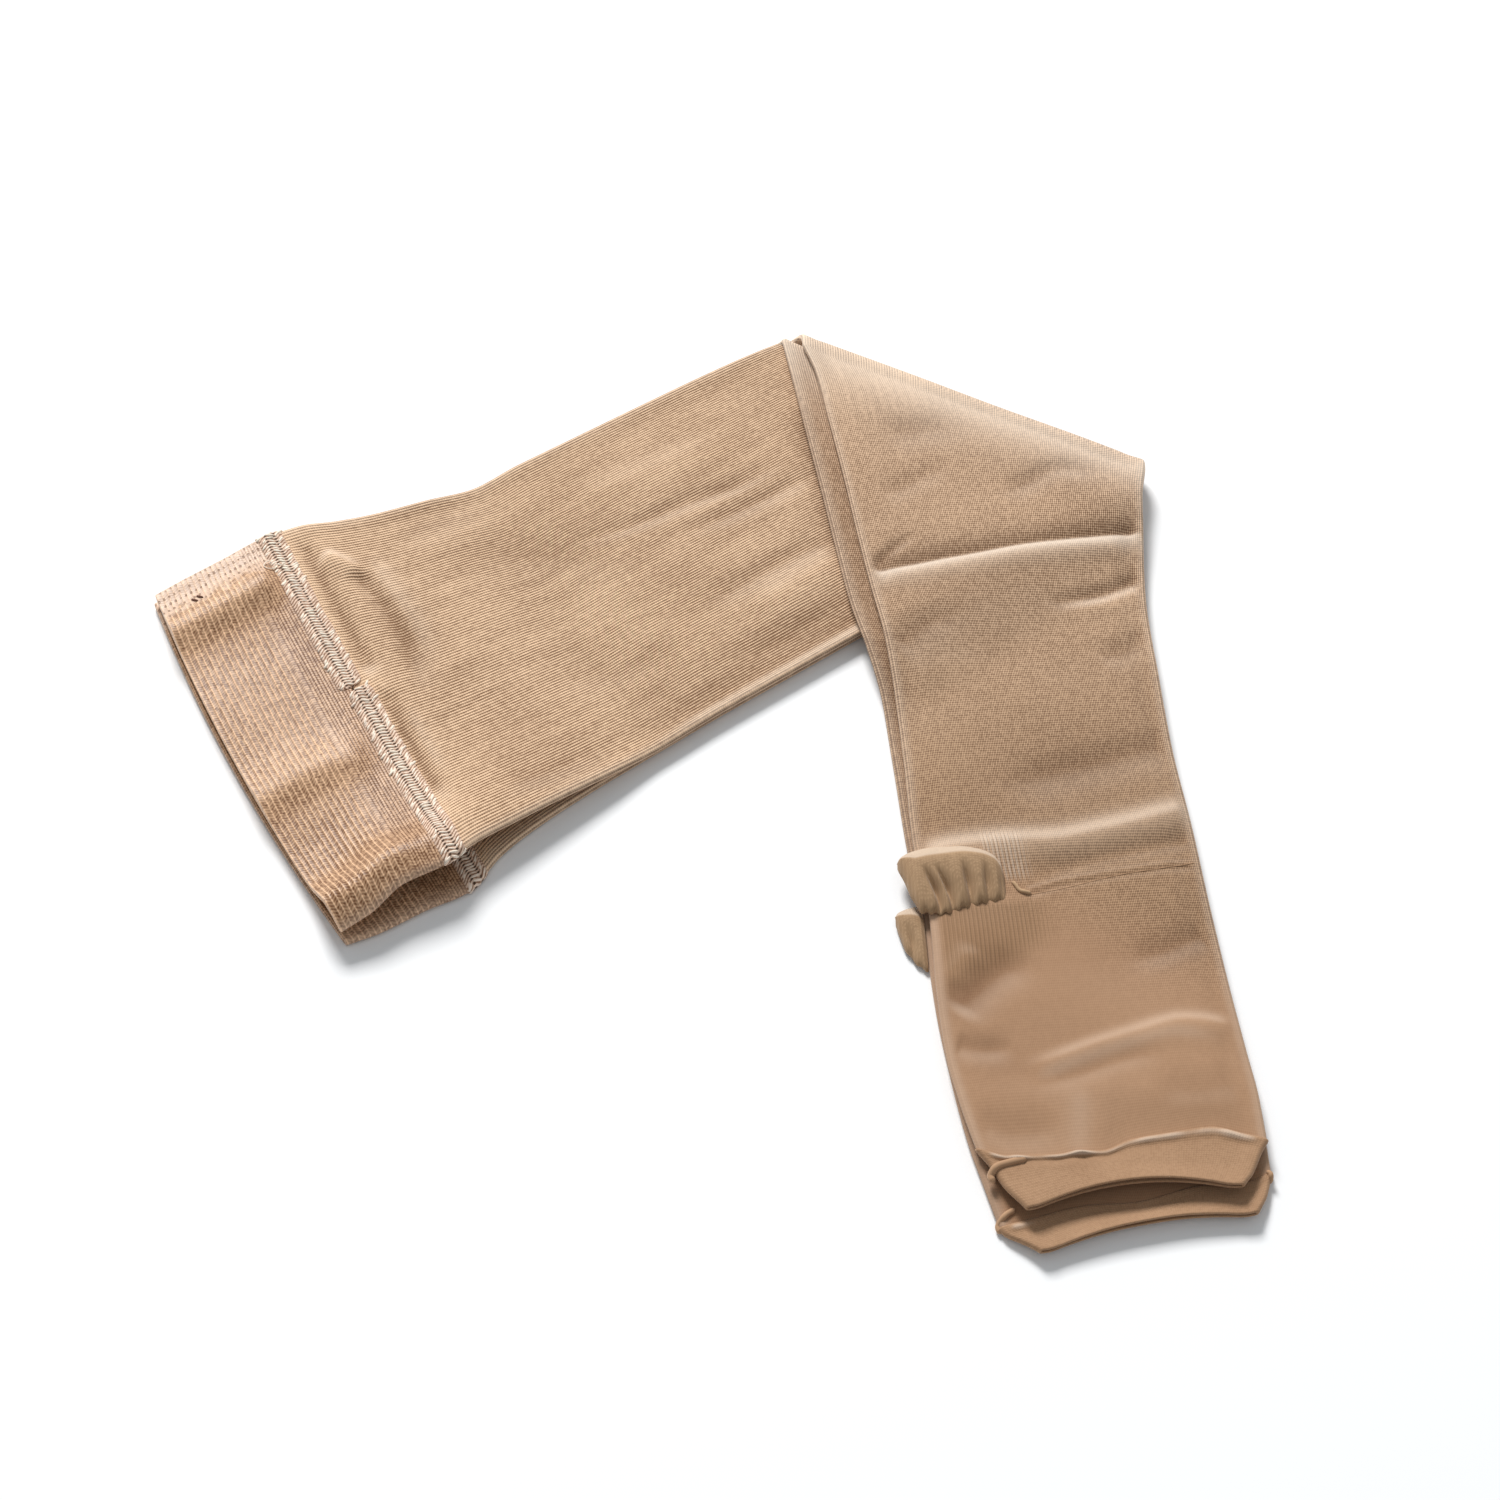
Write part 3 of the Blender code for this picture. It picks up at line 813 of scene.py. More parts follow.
# A crease: its path, height, width to its left and right, how much of it fades in and out.
# One that is sharp says so at its end.
thighCreases = (
    # the valley and arc beside the seam
    (((68, 86), (66, 66), (63, 40), (60, 22), (58, 6)), -1.6, 4.4, 2.6, 0.15, 0.1),
    (((58, 0), (55.5, -20), (52, -44), (49, -66)), -1.2, 4.4, 2.6, 0.1, 0.2),
    (((72, 72), (76, 66), (78.5, 60), (79.3, 52)), 2, 2.4, 5, 0.2, 0.3),
    (((79, 60), (79.4, 45), (79.6, 29), (77, 13), (74, 0), (71, -12)), -1.3, 5, 3, 0.15, 0.3),
    (((84, 62), (85, 45), (84, 29), (82, 13)), 0.7, 6, 4, 0.3, 0.4),
    # long soft folds towards the knee
    (((150, 24), (185, 16), (214, 13), (231, 10), (256, 10)), -1, 5, 3.5, 0.4, 0.3),
    (((190, 2), (221, -1), (250, -2), (268, 0)), -0.9, 4, 4, 0.4, 0.3),
    (((165, 40), (205, 36), (250, 32)), 0.6, 7, 7, 0.4, 0.4),
    (((196, -51), (220, -47), (238, -46), (252, -44)), 1.1, 7, 9, 0.3, 0.2),
    (((180, -34), (210, -34), (247, -34)), -0.7, 5, 5, 0.3, 0.2),
    (((170, -62), (200, -66), (232, -68)), -0.7, 7, 6, 0.4, 0.3),
    (((120, 40), (150, 20), (170, -8)), -0.5, 10, 10, 0.4, 0.4),
    (((105, -30), (140, -42), (170, -46)), -0.5, 9, 9, 0.4, 0.4),
    (((95, 55), (120, 50), (150, 52)), 0.6, 9, 7, 0.4, 0.4),
    # the dip where the lower legs bear down
    (((281, 33), (266, -4), (252, -35), (238, -63)), -2, 10, 8, 0.2, 0.2),
    (((66, -66), (90, -72), (120, -74)), -0.6, 7, 6, 0.3, 0.4),
    (((130, -84), (190, -84), (240, -82)), -1.5, 20, 5, 0.3, 0.1),
)
shinCreases = (
    # the sharp fold under the knee
    (
        ((99, -49), (97.8, -36), (94.5, -20), (91.7, -4), (88.4, 13), (86.2, 29), (83.9, 45), (81, 63)),
        -2.3, 4.4, 2.4, 0.06, 0.02, "sharp",
    ),
    (((103, -46), (101, -28), (97, -8), (94, 8), (91, 28), (88, 56)), 0.9, 4.5, 6, 0.15, 0.1),
    (((98, -48), (92, -41), (85, -33), (80, -24)), -0.9, 2.4, 2.4, 0.05, 0.5),
    (((110, 16), (115.5, 26), (112.6, 41), (104, 60)), -1.35, 3.8, 3.2, 0.5, 0.05),
    (((118, 24), (118, 40), (111, 58)), 0.7, 4, 5, 0.3, 0.1),
    (((28, -38), (24, -17), (34, -4)), -0.8, 8, 8, 0.3, 0.4),
    (((62, -42), (51, -23), (40, -10)), -0.7, 5.5, 5.5, 0.25, 0.4),
    (((66, 8), (55, 20), (48, 34), (53, 52)), -1.1, 5, 5.5, 0.3, 0.3),
    (((138, -42), (126, -27), (119, -8)), -0.8, 5.5, 6.5, 0.15, 0.5),
    (((146, 36), (136, 53), (131, 60)), -0.8, 5, 6, 0.3, 0.1),
    (((154, -40), (146, -22), (146, 0)), 0.5, 8, 8, 0.2, 0.5),
    # the soft roll above the heel
    (
        ((233, -44), (230, -27), (228.5, -8), (229, 8), (226.5, 23), (222, 43), (216.5, 61)),
        2.3, 5.2, 8.6, 0.1, 0.02,
    ),
    (((242, -6), (239, 9), (235, 27), (231, 47), (228, 62)), -0.8, 6, 4, 0.3, 0.05),
    (((204, -10), (197, 10), (192, 31), (188, 47), (185, 60)), -1, 7, 9, 0.3, 0.1),
    # the fine line of stitches across the instep
    (((249, -4), (245.6, 9), (243.4, 24), (241, 42), (239, 62)), 0.25, 1, 0.9, 0.02, 0),
    (((250.6, -4), (247, 9), (244.8, 24), (242.4, 42), (240.4, 62)), -0.2, 0.9, 1.4, 0.05, 0),
    # the foot
    (((271, -24), (280, -31), (288, -36)), 0.7, 5.5, 5, 0.3, 0.3),
    (((274, -4), (285, -21), (298, -35)), -1.3, 7, 7.5, 0.35, 0.15),
    (
        ((323, -16), (318, 1), (314, 13), (310.4, 26), (308, 34), (306, 43), (309, 63)),
        1, 3, 6, 0.25, 0.1,
    ),
    (((329, -14), (324, 4), (319, 20), (315, 38)), -0.6, 6, 4, 0.3, 0.3),
    (((270, 57), (277, 40), (281, 24)), -0.8, 5, 6, 0.05, 0.5),
    (((310, -36), (313, -25), (313, -14)), -0.8, 4.5, 4.5, 0.1, 0.4),
    (((338, -34), (342, -18), (342, 0)), -0.5, 5, 5, 0.2, 0.4),
    (((330, 30), (333, 44), (330, 60)), -0.5, 6, 6, 0.3, 0.2),
)
# the sheets that lie on the floor carry shallow troughs of the same kind
thighFloorCreases = (
    (((70, 80), (66, 50), (60, 10), (52, -60)), -0.5, 4, 4, 0.1, 0.1),
    (((100, 50), (150, 30), (200, 24), (250, 20)), -0.5, 5, 5, 0.3, 0.3),
    (((110, -20), (170, -34), (230, -36)), -0.5, 5, 6, 0.3, 0.3),
    (((150, 60), (200, 52), (240, 50)), -0.4, 5, 5, 0.3, 0.3),
    (((140, -60), (190, -64), (250, -60)), -0.4, 6, 5, 0.3, 0.3),
)
shinFloorCreases = (
    (((150, -44), (154, -10), (150, 30), (144, 54)), -0.5, 4, 4, 0.1, 0.2),
    (((196, -44), (202, -14), (196, 26)), -0.45, 5, 5, 0.1, 0.4),
    (((236, -40), (232, 0), (226, 40), (222, 58)), -0.6, 4, 5, 0.1, 0.1),
    (((282, -38), (290, -10), (286, 30)), -0.5, 5, 5, 0.1, 0.4),
    (((318, 60), (322, 30), (328, 0)), -0.5, 5, 4, 0.1, 0.4),
)

# painted highlight (positive amounts) where folds and ridges catch the light, and painted shade (negative
# amounts) in valleys and beside the raised seam: path, amount, and the rest as for a crease
thighPaintedShading = (
    (((79, 64), (79.4, 45), (79.6, 29), (77, 13), (73, -4)), -0.17, 4.5, 2.5, 0.15, 0.4),
    (((68, 80), (66, 62), (63.5, 40), (61, 22), (59, 6)), -0.3, 2.4, 2.4, 0.15, 0.2),
    (((57.5, -4), (55, -24), (52, -46), (50, -62)), -0.5, 2.6, 2.2, 0.15, 0.2),
    (((86, 62), (86.5, 45), (86, 29), (84, 13), (80, -6)), 0.12, 5, 5, 0.2, 0.4),
    (((62, -10), (59.5, -30), (56, -54)), 0.1, 3, 5, 0.3, 0.3),
)
shinPaintedShading = (
    (
        ((231, -44), (228, -27), (226.5, -8), (227, 8), (224.5, 23), (220, 43), (214.5, 61)),
        0.13, 7, 8, 0.1, 0.02,
    ),
    (
        ((101, -49), (99.8, -36), (96.5, -20), (93.7, -4), (90.4, 13), (88.2, 29), (85.9, 45), (83, 63)),
        0.3, 1.4, 6.5, 0.05, 0.02,
    ),
    (((327, -14), (321, 1), (317, 13), (313, 26), (310, 40), (314, 58)), 0.1, 3, 2.4, 0.2, 0.2),
    (((262, -30), (276, -22), (290, -30), (304, -38)), -0.22, 9, 9, 0.25, 0.2),
    (((274, 60), (280, 45), (284, 30)), -0.3, 4, 4, 0.1, 0.5),
    (((316, -34), (320, -20), (323, -6)), -0.16, 5, 5, 0.2, 0.4),
    (((328, 16), (340, 14), (352, 10)), -0.12, 4, 3, 0.3, 0.2),
    (((328, 5), (340, 3), (352, 0)), 0.08, 4, 4, 0.3, 0.2),
    (((356, -30), (357.5, -16), (358, 0), (355, 14)), 0.2, 5, 3, 0.1, 0.5),
)


def foldGap(plan, lead):
    # distance from the fold line, and the share of the way along it from the back edge
    line = lead[1] - lead[0]
    long = np.linalg.norm(line)
    off = plan - lead[0]
    gap = np.abs(line[0] * off[..., 1] - line[1] * off[..., 0]) / long
    return gap, np.clip(off @ line / long**2, 0, 1)


foldRoll = {"drop": 1.3, "reach": 24.0}  # how the upper sheet slopes down to the fold line
puffed = {"thigh": 0.9, "shin": 1.7}  # how far the top sheets stand off the ones below
bearing = np.array(((281.0, 33.0), (238.0, -63.0)))  # where the lower legs start to bear on the thigh


def legRelief(stocking, lead):
    # which creases each sheet carries: the top one at the thigh is "over", at the lower leg "under"
    topAtThigh, topAtShin = stocking is over, stocking is under
    way = (bearing[1] - bearing[0]) / np.linalg.norm(bearing[1] - bearing[0])

    def relief(at, rows, side):
        thigh, shin = wayAlong(at["plan"])
        share = smooth((rows["turn"] + 90) / 180)[:, None]
        lift, rise = np.zeros(at["half"].shape), np.zeros(at["half"].shape)
        if side == stocking["openSide"]:
            if topAtThigh:
                off = thigh - bearing[0]
                clear = smooth((way[0] * off[..., 1] - way[1] * off[..., 0]) / 30)
                rise += (1 - share) * puffed["thigh"] * clear
                lift += (1 - share) * (creaseRelief(thigh, thighCreases) + swell(thigh, 34.0, 0.3, 1.3))
                lift += share * creaseRelief(shin, shinFloorCreases)
            if topAtShin:
                gap, _ = foldGap(at["plan"], lead)
                near = np.clip(1 - gap / foldRoll["reach"], 0, 1) ** 2
                left = (stocking["shin"][-1][0] + stocking["shin"][-1][2]) / 2 - shin[..., 0]
                rise += share * puffed["shin"] * (1 - near) * smooth((left - 1) / 20)
                rise -= foldRoll["drop"] * near * smooth(rows["turn"] / 60)[:, None]
                lift += share * (creaseRelief(shin, shinCreases) + swell(shin, 30.0, 0.3, 4.1))
                lift += (1 - share) * creaseRelief(thigh, thighFloorCreases)
        return lift, rise

    return relief


# how the line between foot and toe cuff wanders: distance out, and how far it slips towards the toe
cuffWander = {
    "over": ((-30, 2), (-18, 0.5), (0, -1), (20, 1), (40, -1), (58, 0.5), (66, -1.5)),
    "under": (
        (-34, 2.6), (-22, 5.6), (-7, 5.6), (1, 4.4), (9, 4.5),
        (19, 0.8), (33, -1.6), (47, -3.4), (56, -1), (66, 2.2),
    ),
}


def wander(points, stocking):
    # slides the cloth on both sides of that line with it
    _, shin = wayAlong(points[..., :2])
    first = stocking["cuff"][0]
    share = (shin[..., 1] + first[1]) / (first[1] + first[3])
    past = shin[..., 0] - first[0] - share * (first[2] - first[0])
    outs, slips = zip(*cuffWander[stocking["name"]])
    slip = throughRows(outs, slips, np.clip(shin[..., 1], outs[0] + 0.01, outs[-1] - 0.01))
    near = np.where(past < 0, smooth(1 + past / 20), smooth(1 - past / 12))
    moved = points.copy()
    moved[..., :2] += (slip * near)[..., None] * shinAhead
    return moved


def shifted(row, step):
    # the same row further along the leg
    return [value + step if k in (0, 2) else value for k, value in enumerate(row)]


def addLeg(stocking):
    thigh = thighRows(stocking["thigh"], stocking["rowSteps"][0])
    # the leg runs on under the seam
    early = thighRows((shifted(stocking["thigh"][0], -4.5), stocking["thigh"][0]), 2.2)
    fold, lead = foldRows(thigh, stocking["fold"], stocking["stack"], 13)
    shin = shinRows(stocking["shin"], stocking["rowSteps"][1], stocking["stack"], lead)
    rows = joined({k: v[:-1] for k, v in early.items()}, thigh, fold, shin)
    points, around, marks = skin(rows, lie["legWall"], (*stocking["sheets"], 5), legRelief(stocking, lead))
    along = alongLeg(points, rows)
    # painted highlight where the cloth climbs over a crease and faces the light, and painted shade where it
    # falls away from it
    steps = [np.linalg.norm(np.gradient(points, axis=k), axis=2) for k in (0, 1)]
    climbs = [np.gradient(marks["relief"], axis=k) / np.maximum(steps[k], 0.2) for k in (0, 1)]
    onLower = (rows["turn"] > 0)[:, None]
    climb = np.where(onLower, climbs[0], climbs[1] if stocking is over else 0.0)
    climbHighlight = np.clip(climb * 0.65, 0, 0.34)
    marks["relief"] = np.clip(marks["relief"] / 3 + np.clip(climb, -0.4, 0) * 0.6, -0.5, 0.4)
    # painted shade on the over stocking's lower leg, the strip that lies in shade beside the other stocking
    if stocking is over:
        marks["relief"] = marks["relief"] - 0.36 * smooth(rows["turn"] / 80)[:, None]
    # painted highlight: the cloth is painted paler on its rolled edges and near the fold line, where it turns
    # up towards the light
    gap, share = foldGap(points[..., :2], lead)
    foldHighlight = np.exp(-((gap / (19.0 - 8.0 * share)) ** 1.3)) * smooth((rows["turn"] + 70) / 60)[:, None]
    place = wayAlong(points[..., :2])
    if stocking is over:
        paintedShading = creaseRelief(place[0], thighPaintedShading) * (rows["turn"] < 0)[:, None]
    else:
        paintedShading = creaseRelief(place[1], shinPaintedShading) * onLower
    # the negative paths add painted shade to the relief mark
    marks["relief"] = marks["relief"] + np.minimum(paintedShading, 0)
    # painted highlight from the rolled edges, the fold, the slopes that face the light and the positive
    # shading paths
    wear = 0.13 * marks["wear"] + 0.44 * foldHighlight + climbHighlight + np.maximum(paintedShading, 0)
    marks["wear"] = np.clip(wear, 0, 0.75)
    pastFold = (rows["turn"] > 89)[:, None, None]
    points = np.where(pastFold, wander(points, stocking), points)
    faces = ringFaces(around, along)
    return addMesh(stocking["name"] + "_leg_knit", points, *faces, legFinish, marks)


# how the corners of a cuff's mouth are rounded
mouthCorner = {"pull": 1.1, "reach": 3.2, "along": 8.0}
rimBulge = 0.35


def addTube(name, rows, wall, counts, relief, finish, ahead, rimRow):
    # a short tube with a real wall: outer skin, rounded mouth at rimRow, and inner skin
    last = len(rows["t"]) - 1
    outer, around, marks = skin(rows, wall, counts, relief)
    inner, _, _ = skin(rows, wall, counts, None, 0.0)
    order = np.arange(last + 1)
    picked = np.unique(np.concatenate([order[::5], [last]]))
    if rimRow == 0:
        order, picked = order[::-1], picked[::-1]
    mouth = order[-1]
    rim = []
    mouthward = np.array((*(ahead if rimRow else -ahead), 0.0))
    for share, out in ((0.85, 0.7), (0.5, 1.0), (0.15, 0.7)):
        ring = outer[mouth] * share + inner[mouth] * (1 - share)
        rim.append(ring + mouthward * rimBulge * out)
    points = np.concatenate([outer[order], np.array(rim), inner[picked[::-1]]])
    none = 0 * inner[picked][..., 0]
    # painted highlight along the rolled edges and round the mouth's rim
    wear = np.concatenate([0.2 * marks["wear"][order], np.full((3, points.shape[1]), 0.25), none])
    raisedHighlight = np.concatenate([marks["relief"][order], np.zeros((3, points.shape[1])), none])
    t = np.concatenate([rows["t"][order], [rows["t"][mouth]] * 3, rows["t"][picked[::-1]]])
    along = np.tile(t[:, None], (1, points.shape[1]))
    quads, uvs = ringFaces(around, along, closed=True)
    if rimRow == 0:
        quads, uvs = quads[:, :, ::-1], uvs[:, :, ::-1]
    if ahead is not thighAhead:
        points = wander(points, over if name.startswith("over") else under)
        # the corners of the mouth are rounded
        rowOf = np.concatenate([order, [mouth] * 3, picked[::-1]])
        near = [
            np.linalg.norm(points[..., :2] - rows[edge][rowOf][:, None], axis=2)
            for edge in ("back", "front")
        ]
        fromMouth = rows["t"][mouth] - rows["t"][rowOf]
        atMouth = smooth(1 - fromMouth / mouthCorner["along"])[:, None]
        pulled = np.exp(-((np.minimum(*near) / mouthCorner["reach"]) ** 2)) * atMouth
        pulled = mouthCorner["pull"] * pulled
        points[..., :2] -= pulled[..., None] * ahead
    return addMesh(name, points, quads, uvs, finish, {"wear": wear, "relief": raisedHighlight})


bandCreases = (
    (((-6, 67), (25, 68), (58, 70)), 4.4, 10, 8.5, 0, 0),
    (((-6, 42), (25, 42), (52, 44)), -0.5, 9, 10, 0, 0),
    (((-8, -22), (12, -21), (34, -24), (50, -30)), 2.8, 11, 9, 0, 0.5),
    (((-8, -50), (16, -50), (48, -54)), -0.6, 9, 8, 0, 0),
)


def addBand(stocking):
    rows = stocking["band"]
    made = thighRows([*rows, shifted(rows[-1], 4.2)], 0.5)

    def relief(at, these, side):
        t = these["t"][:, None]
        fine = smooth((t - band["fineFrom"] + 1) / 2)
        wide, close = (
            (1 - np.cos(2 * math.pi * t / band[rib])) / 2 * band[rib + "Depth"] * part
            for rib, part in (("rib", 1 - fine), ("fineRib", fine))
        )
        lift = -(wide + close) + np.zeros(at["half"].shape)
        if stocking is over and side == 1:
            thigh, _ = wayAlong(at["plan"])
            soft = swell(thigh, 26.0, 0.3, 0.4) + creaseRelief(thigh, bandCreases)
            lift += soft * smooth((46 - t) / 9)
        return lift, 0.0 * lift

    counts = (90, 34, 5) if stocking is over else (34, 90, 5)
    name = stocking["name"] + "_band_elastic"
    return addTube(name, made, 1.1, counts, relief, bandFinish, thighAhead, 0)


cuffRidge = {"height": 1.15, "width": 1.45, "nubs": ((0.345, 0.7), (0.12, 0.6), (0.88, 0.3))}


def addCuff(stocking):
    made = shinRows(stocking["cuff"], 0.7, stocking["stack"])
    start = made["t"][0]

    def relief(at, these, side):
        t = these["t"][:, None] - start
        share = np.linspace(0, 1, at["half"].shape[1])[None, :]
        ridge = np.exp(-(((t - 1.7) / cuffRidge["width"]) ** 2))
        if stocking is over:
            size = 1.2 * np.exp(-((share / 0.1) ** 2)) + 0.6 * np.exp(-(((1 - share) / 0.05) ** 2))
        else:
            size = 0.85 + 0.2 * np.sin(share * 21 + 1) + 0.1 * np.sin(share * 57)
            for where, more in cuffRidge["nubs"]:
                size = size + more * np.exp(-(((share - where) / 0.025) ** 2))
        lift = cuffRidge["height"] * ridge * size
        if (side == stocking["openSide"]) == (stocking is over):
            lift = np.minimum(lift, 0) if stocking is over else lift * 0.3
        return lift, 0.0 * lift

    counts = (40 if stocking is under else 60, 90, 5)
    name = stocking["name"] + "_toe_cuff_knit"
    return addTube(name, made, 1.1, counts, relief, cuffFinish, shinAhead, -1)


legs, bands, cuffs = {}, {}, {}
for stocking in (over, under):
    which = stocking["name"]
    legs[which], bands[which], cuffs[which] = addLeg(stocking), addBand(stocking), addCuff(stocking)
print("legs, bands and cuffs made")


# the overlocked seams

seam = {
    "halfWidth": 5.1,
    "thick": 0.85,
    "spacing": 0.8,
    "startShare": 0.485,  # where the second run starts across the top sheet
    "endShare": 0.475,
    "startShift": 1.7,
    "endShift": -0.4,
    "overlapLift": 0.7,
    "profile": (-1, -0.97, -0.88, -0.7, -0.5, -0.42, -0.3, 0, 0.3, 0.42, 0.5, 0.7, 0.88, 0.97, 1),
    "underShift": 30.0,  # how much further round the lower stocking's seam starts
    "firstStitch": 1.2,
    "threadSink": 0.28,
    "floorGap": 0.75,  # the lowest a stitch lies
}


def seamSurface(stocking):
    # the cloth under the seam, as a fine grid to walk on
    made = thighRows((*stocking["band"][-2:], *stocking["thigh"][:3]), 0.7)
    points, _, _ = skin(made, 1.05, (150, 150, 7))
    return made["t"], points


def walker(ts, points):
    # a function from distance round and distance along to a place, its outward way and its along way
    middle = points[len(ts) // 2]
    ring = np.vstack([middle, middle[:1]])
    gone = runAlong(ring)
    closed = np.concatenate([points, points[:, :1]], axis=1)
    dRound = np.gradient(closed, axis=1)
    dRound[:, 0] = dRound[:, -1] = closed[:, 1] - closed[:, -2]
    dAlong = np.gradient(closed, axis=0)
    out = np.cross(dRound, dAlong)
    out /= np.linalg.norm(out, axis=2, keepdims=True)
    dAlong = dAlong / np.linalg.norm(dAlong, axis=2, keepdims=True)

    def pick(grid, r, j):
        r0 = np.clip(np.floor(r).astype(int), 0, len(ts) - 2)
        j0 = np.clip(np.floor(j).astype(int), 0, closed.shape[1] - 2)
        fr, fj = (r - r0)[..., None], (j - j0)[..., None]
        return (
            grid[r0, j0] * (1 - fr) * (1 - fj)
            + grid[r0 + 1, j0] * fr * (1 - fj)
            + grid[r0, j0 + 1] * (1 - fr) * fj
            + grid[r0 + 1, j0 + 1] * fr * fj
        )

    def walk(distance, t):
        j = np.interp(distance % gone[-1], gone, np.arange(len(gone)))
        r = np.interp(t, ts, np.arange(len(ts)))
        return pick(closed, r, j), pick(out, r, j), pick(dAlong, r, j)

    return walk, gone


def addSeam(stocking):
    ts, points = seamSurface(stocking)
    walk, gone = walker(ts, points)
    sheet = gone[149]
    further = seam["underShift"] if stocking is under else 0
    startAt = seam["startShare"] * sheet + further
    endAt = seam["endShare"] * sheet + gone[-1] + further
    distance = np.linspace(startAt, endAt, int((endAt - startAt) / seam["spacing"]))
    share = (distance - startAt) / (endAt - startAt)
    lastBand, firstLeg = stocking["band"][-1], stocking["thigh"][0]
    middle = (lastBand[0] + lastBand[2] + firstLeg[0] + firstLeg[2]) / 4
    slip = seam["endShift"] - seam["startShift"]
    shift = seam["startShift"] + slip * smooth((share - 0.2) / 0.6)
    fromEnds = np.clip(np.minimum(distance - startAt, endAt - distance) / 3, 0, 1)
    rounded = np.sqrt(fromEnds * (2 - fromEnds))
    lift = seam["overlapLift"] * (1 - smooth((distance - startAt - 3) / 7))
    width = np.array(seam["profile"])
    wobble = 1 + 0.03 * np.sin(distance * 2 * math.pi / stitchPitch) + 0.025 * np.sin(distance / 3.7)
    half = seam["halfWidth"] * (0.35 + 0.65 * rounded) * wobble
    crown = np.clip(1 - np.abs(width) ** 5, 0, 1) ** 0.5
    dip = 0.16 * np.exp(-(((np.abs(width) - 0.42) / 0.09) ** 2))
    height = seam["thick"] * (crown[None, :] - dip[None, :]) * (0.3 + 0.7 * rounded[:, None])
    height = height + (lift + 0.05 * np.sin(distance / 2.3 + 1))[:, None] * crown[None, :]
    t = middle + shift[:, None] + width[None, :] * half[:, None]
    place, out, _ = walk(np.tile(distance[:, None], (1, len(width))), t)
    top = place + out * (height[..., None] - 0.05)
    low = place - out * 0.7
    loop = np.concatenate([top, low[:, ::-2]], axis=1)
    loop[..., 2] = np.maximum(loop[..., 2], 0.08)
    across = np.concatenate([width, width[::-2], [width[0]]])
    along = np.tile((distance - startAt - seam["firstStitch"])[:, None], (1, loop.shape[1]))
    faces = ringFaces(across, along)
    strip = addMesh(stocking["name"] + "_band_seam_overlock", loop, *faces, seamFinish)
    closeEnds(strip)
    # one point for each stitch, with the ways it faces
    at = np.arange(startAt + seam["firstStitch"], endAt - 1.0, stitchPitch)
    shiftAt = np.interp(at, distance, shift)
    place, out, along = walk(at, middle + shiftAt)
    tall = seam["thick"] + np.interp(at, distance, lift) - seam["threadSink"]
    # no two stitches lie quite alike
    chance = np.random.default_rng(5)
    sway = chance.uniform(-0.28, 0.28, len(at))[:, None]
    across = along * np.cos(sway) + np.cross(out, along) * np.sin(sway)
    place = place + out * (tall + chance.uniform(-0.12, 0.12, len(at)))[:, None]
    place = place + along * chance.uniform(-0.25, 0.25, len(at))[:, None]
    place[:, 2] = np.maximum(place[:, 2], seam["floorGap"])
    return strip, place, out, across


def stitchTree(name):
    # three slanting threads at every point, so that two rows of holes are left between them
    tree = bpy.data.node_groups.new(name, "GeometryNodeTree")
    tree.is_modifier = True
    sockets = {}
    for label, kind, value in (
        ("Geometry", "Geometry", None),
        ("Thread Radius", "Float", 0.00054),
        ("Thread Length", "Float", 0.00175),
        ("Row Spacing", "Float", 0.00325),
        ("Lean", "Float", 0.55),
        ("Unevenness", "Float", 0.28),
        ("Thread Cloth", "Material", None),
    ):
        kind = "NodeSocket" + kind
        socket = tree.interface.new_socket(name=label, in_out="INPUT", socket_type=kind)
        if value is not None:
            socket.default_value = value
        sockets[label] = socket.identifier
    tree.interface.new_socket(name="Geometry", in_out="OUTPUT", socket_type="NodeSocketGeometry")

    def geometry(kind, values, settings=None, out=0):
        return addNode(tree, kind, settings, values, out)

    def calc(operation, first, second):
        return geometry("ShaderNodeMath", {0: first, 1: second}, {"operation": operation})

    def vector(*parts):
        return geometry("ShaderNodeCombineXYZ", dict(enumerate(parts)))

    def turned(values, **settings):
        return geometry("FunctionNodeAlignRotationToVector", values, settings)

    def named(label):
        kind = "GeometryNodeInputNamedAttribute"
        return geometry(kind, {"Name": label}, {"data_type": "FLOAT_VECTOR"})

    given = tree.nodes.new("NodeGroupInput").outputs
    radius, unevenness = given["Thread Radius"], given["Unevenness"]
    ball = geometry("GeometryNodeMeshUVSphere", {"Segments": 6, "Rings": 4, "Radius": 1.0})
    join = tree.nodes.new("GeometryNodeJoinGeometry")
    for row in (-1, 0, 1):
        shift = calc("MULTIPLY", given["Row Spacing"], float(row))
        drop = calc("MULTIPLY", radius, -0.5 * abs(row))
        lean = calc("MULTIPLY", given["Lean"], 1.0 if row else -1.0)
        thread = {
            "Geometry": ball,
            "Translation": vector(0.0, shift, drop),
            "Rotation": vector(0.0, 0.0, lean),
            "Scale": vector(radius, given["Thread Length"], radius),
        }
        tree.links.new(geometry("GeometryNodeTransform", thread), join.inputs[0])
    facing = turned({"Vector": named("outward")}, axis="Z")
    facing = turned({"Rotation": facing, "Vector": named("across")}, axis="Y", pivot_axis="Z")
    limits = {2: calc("SUBTRACT", 1.0, unevenness), 3: calc("ADD", 1.0, unevenness), "Seed": 7}
    uneven = geometry("FunctionNodeRandomValue", limits, {"data_type": "FLOAT"}, 1)
    spread = geometry(
        "GeometryNodeInstanceOnPoints",
        {"Points": given["Geometry"], "Instance": join.outputs[0], "Rotation": facing, "Scale": uneven},
    )
    real = geometry("GeometryNodeRealizeInstances", {"Geometry": spread})
    dressed = geometry("GeometryNodeSetMaterial", {"Geometry": real, "Material": given["Thread Cloth"]})
    tree.links.new(dressed, tree.nodes.new("NodeGroupOutput").inputs[0])
    return tree, sockets


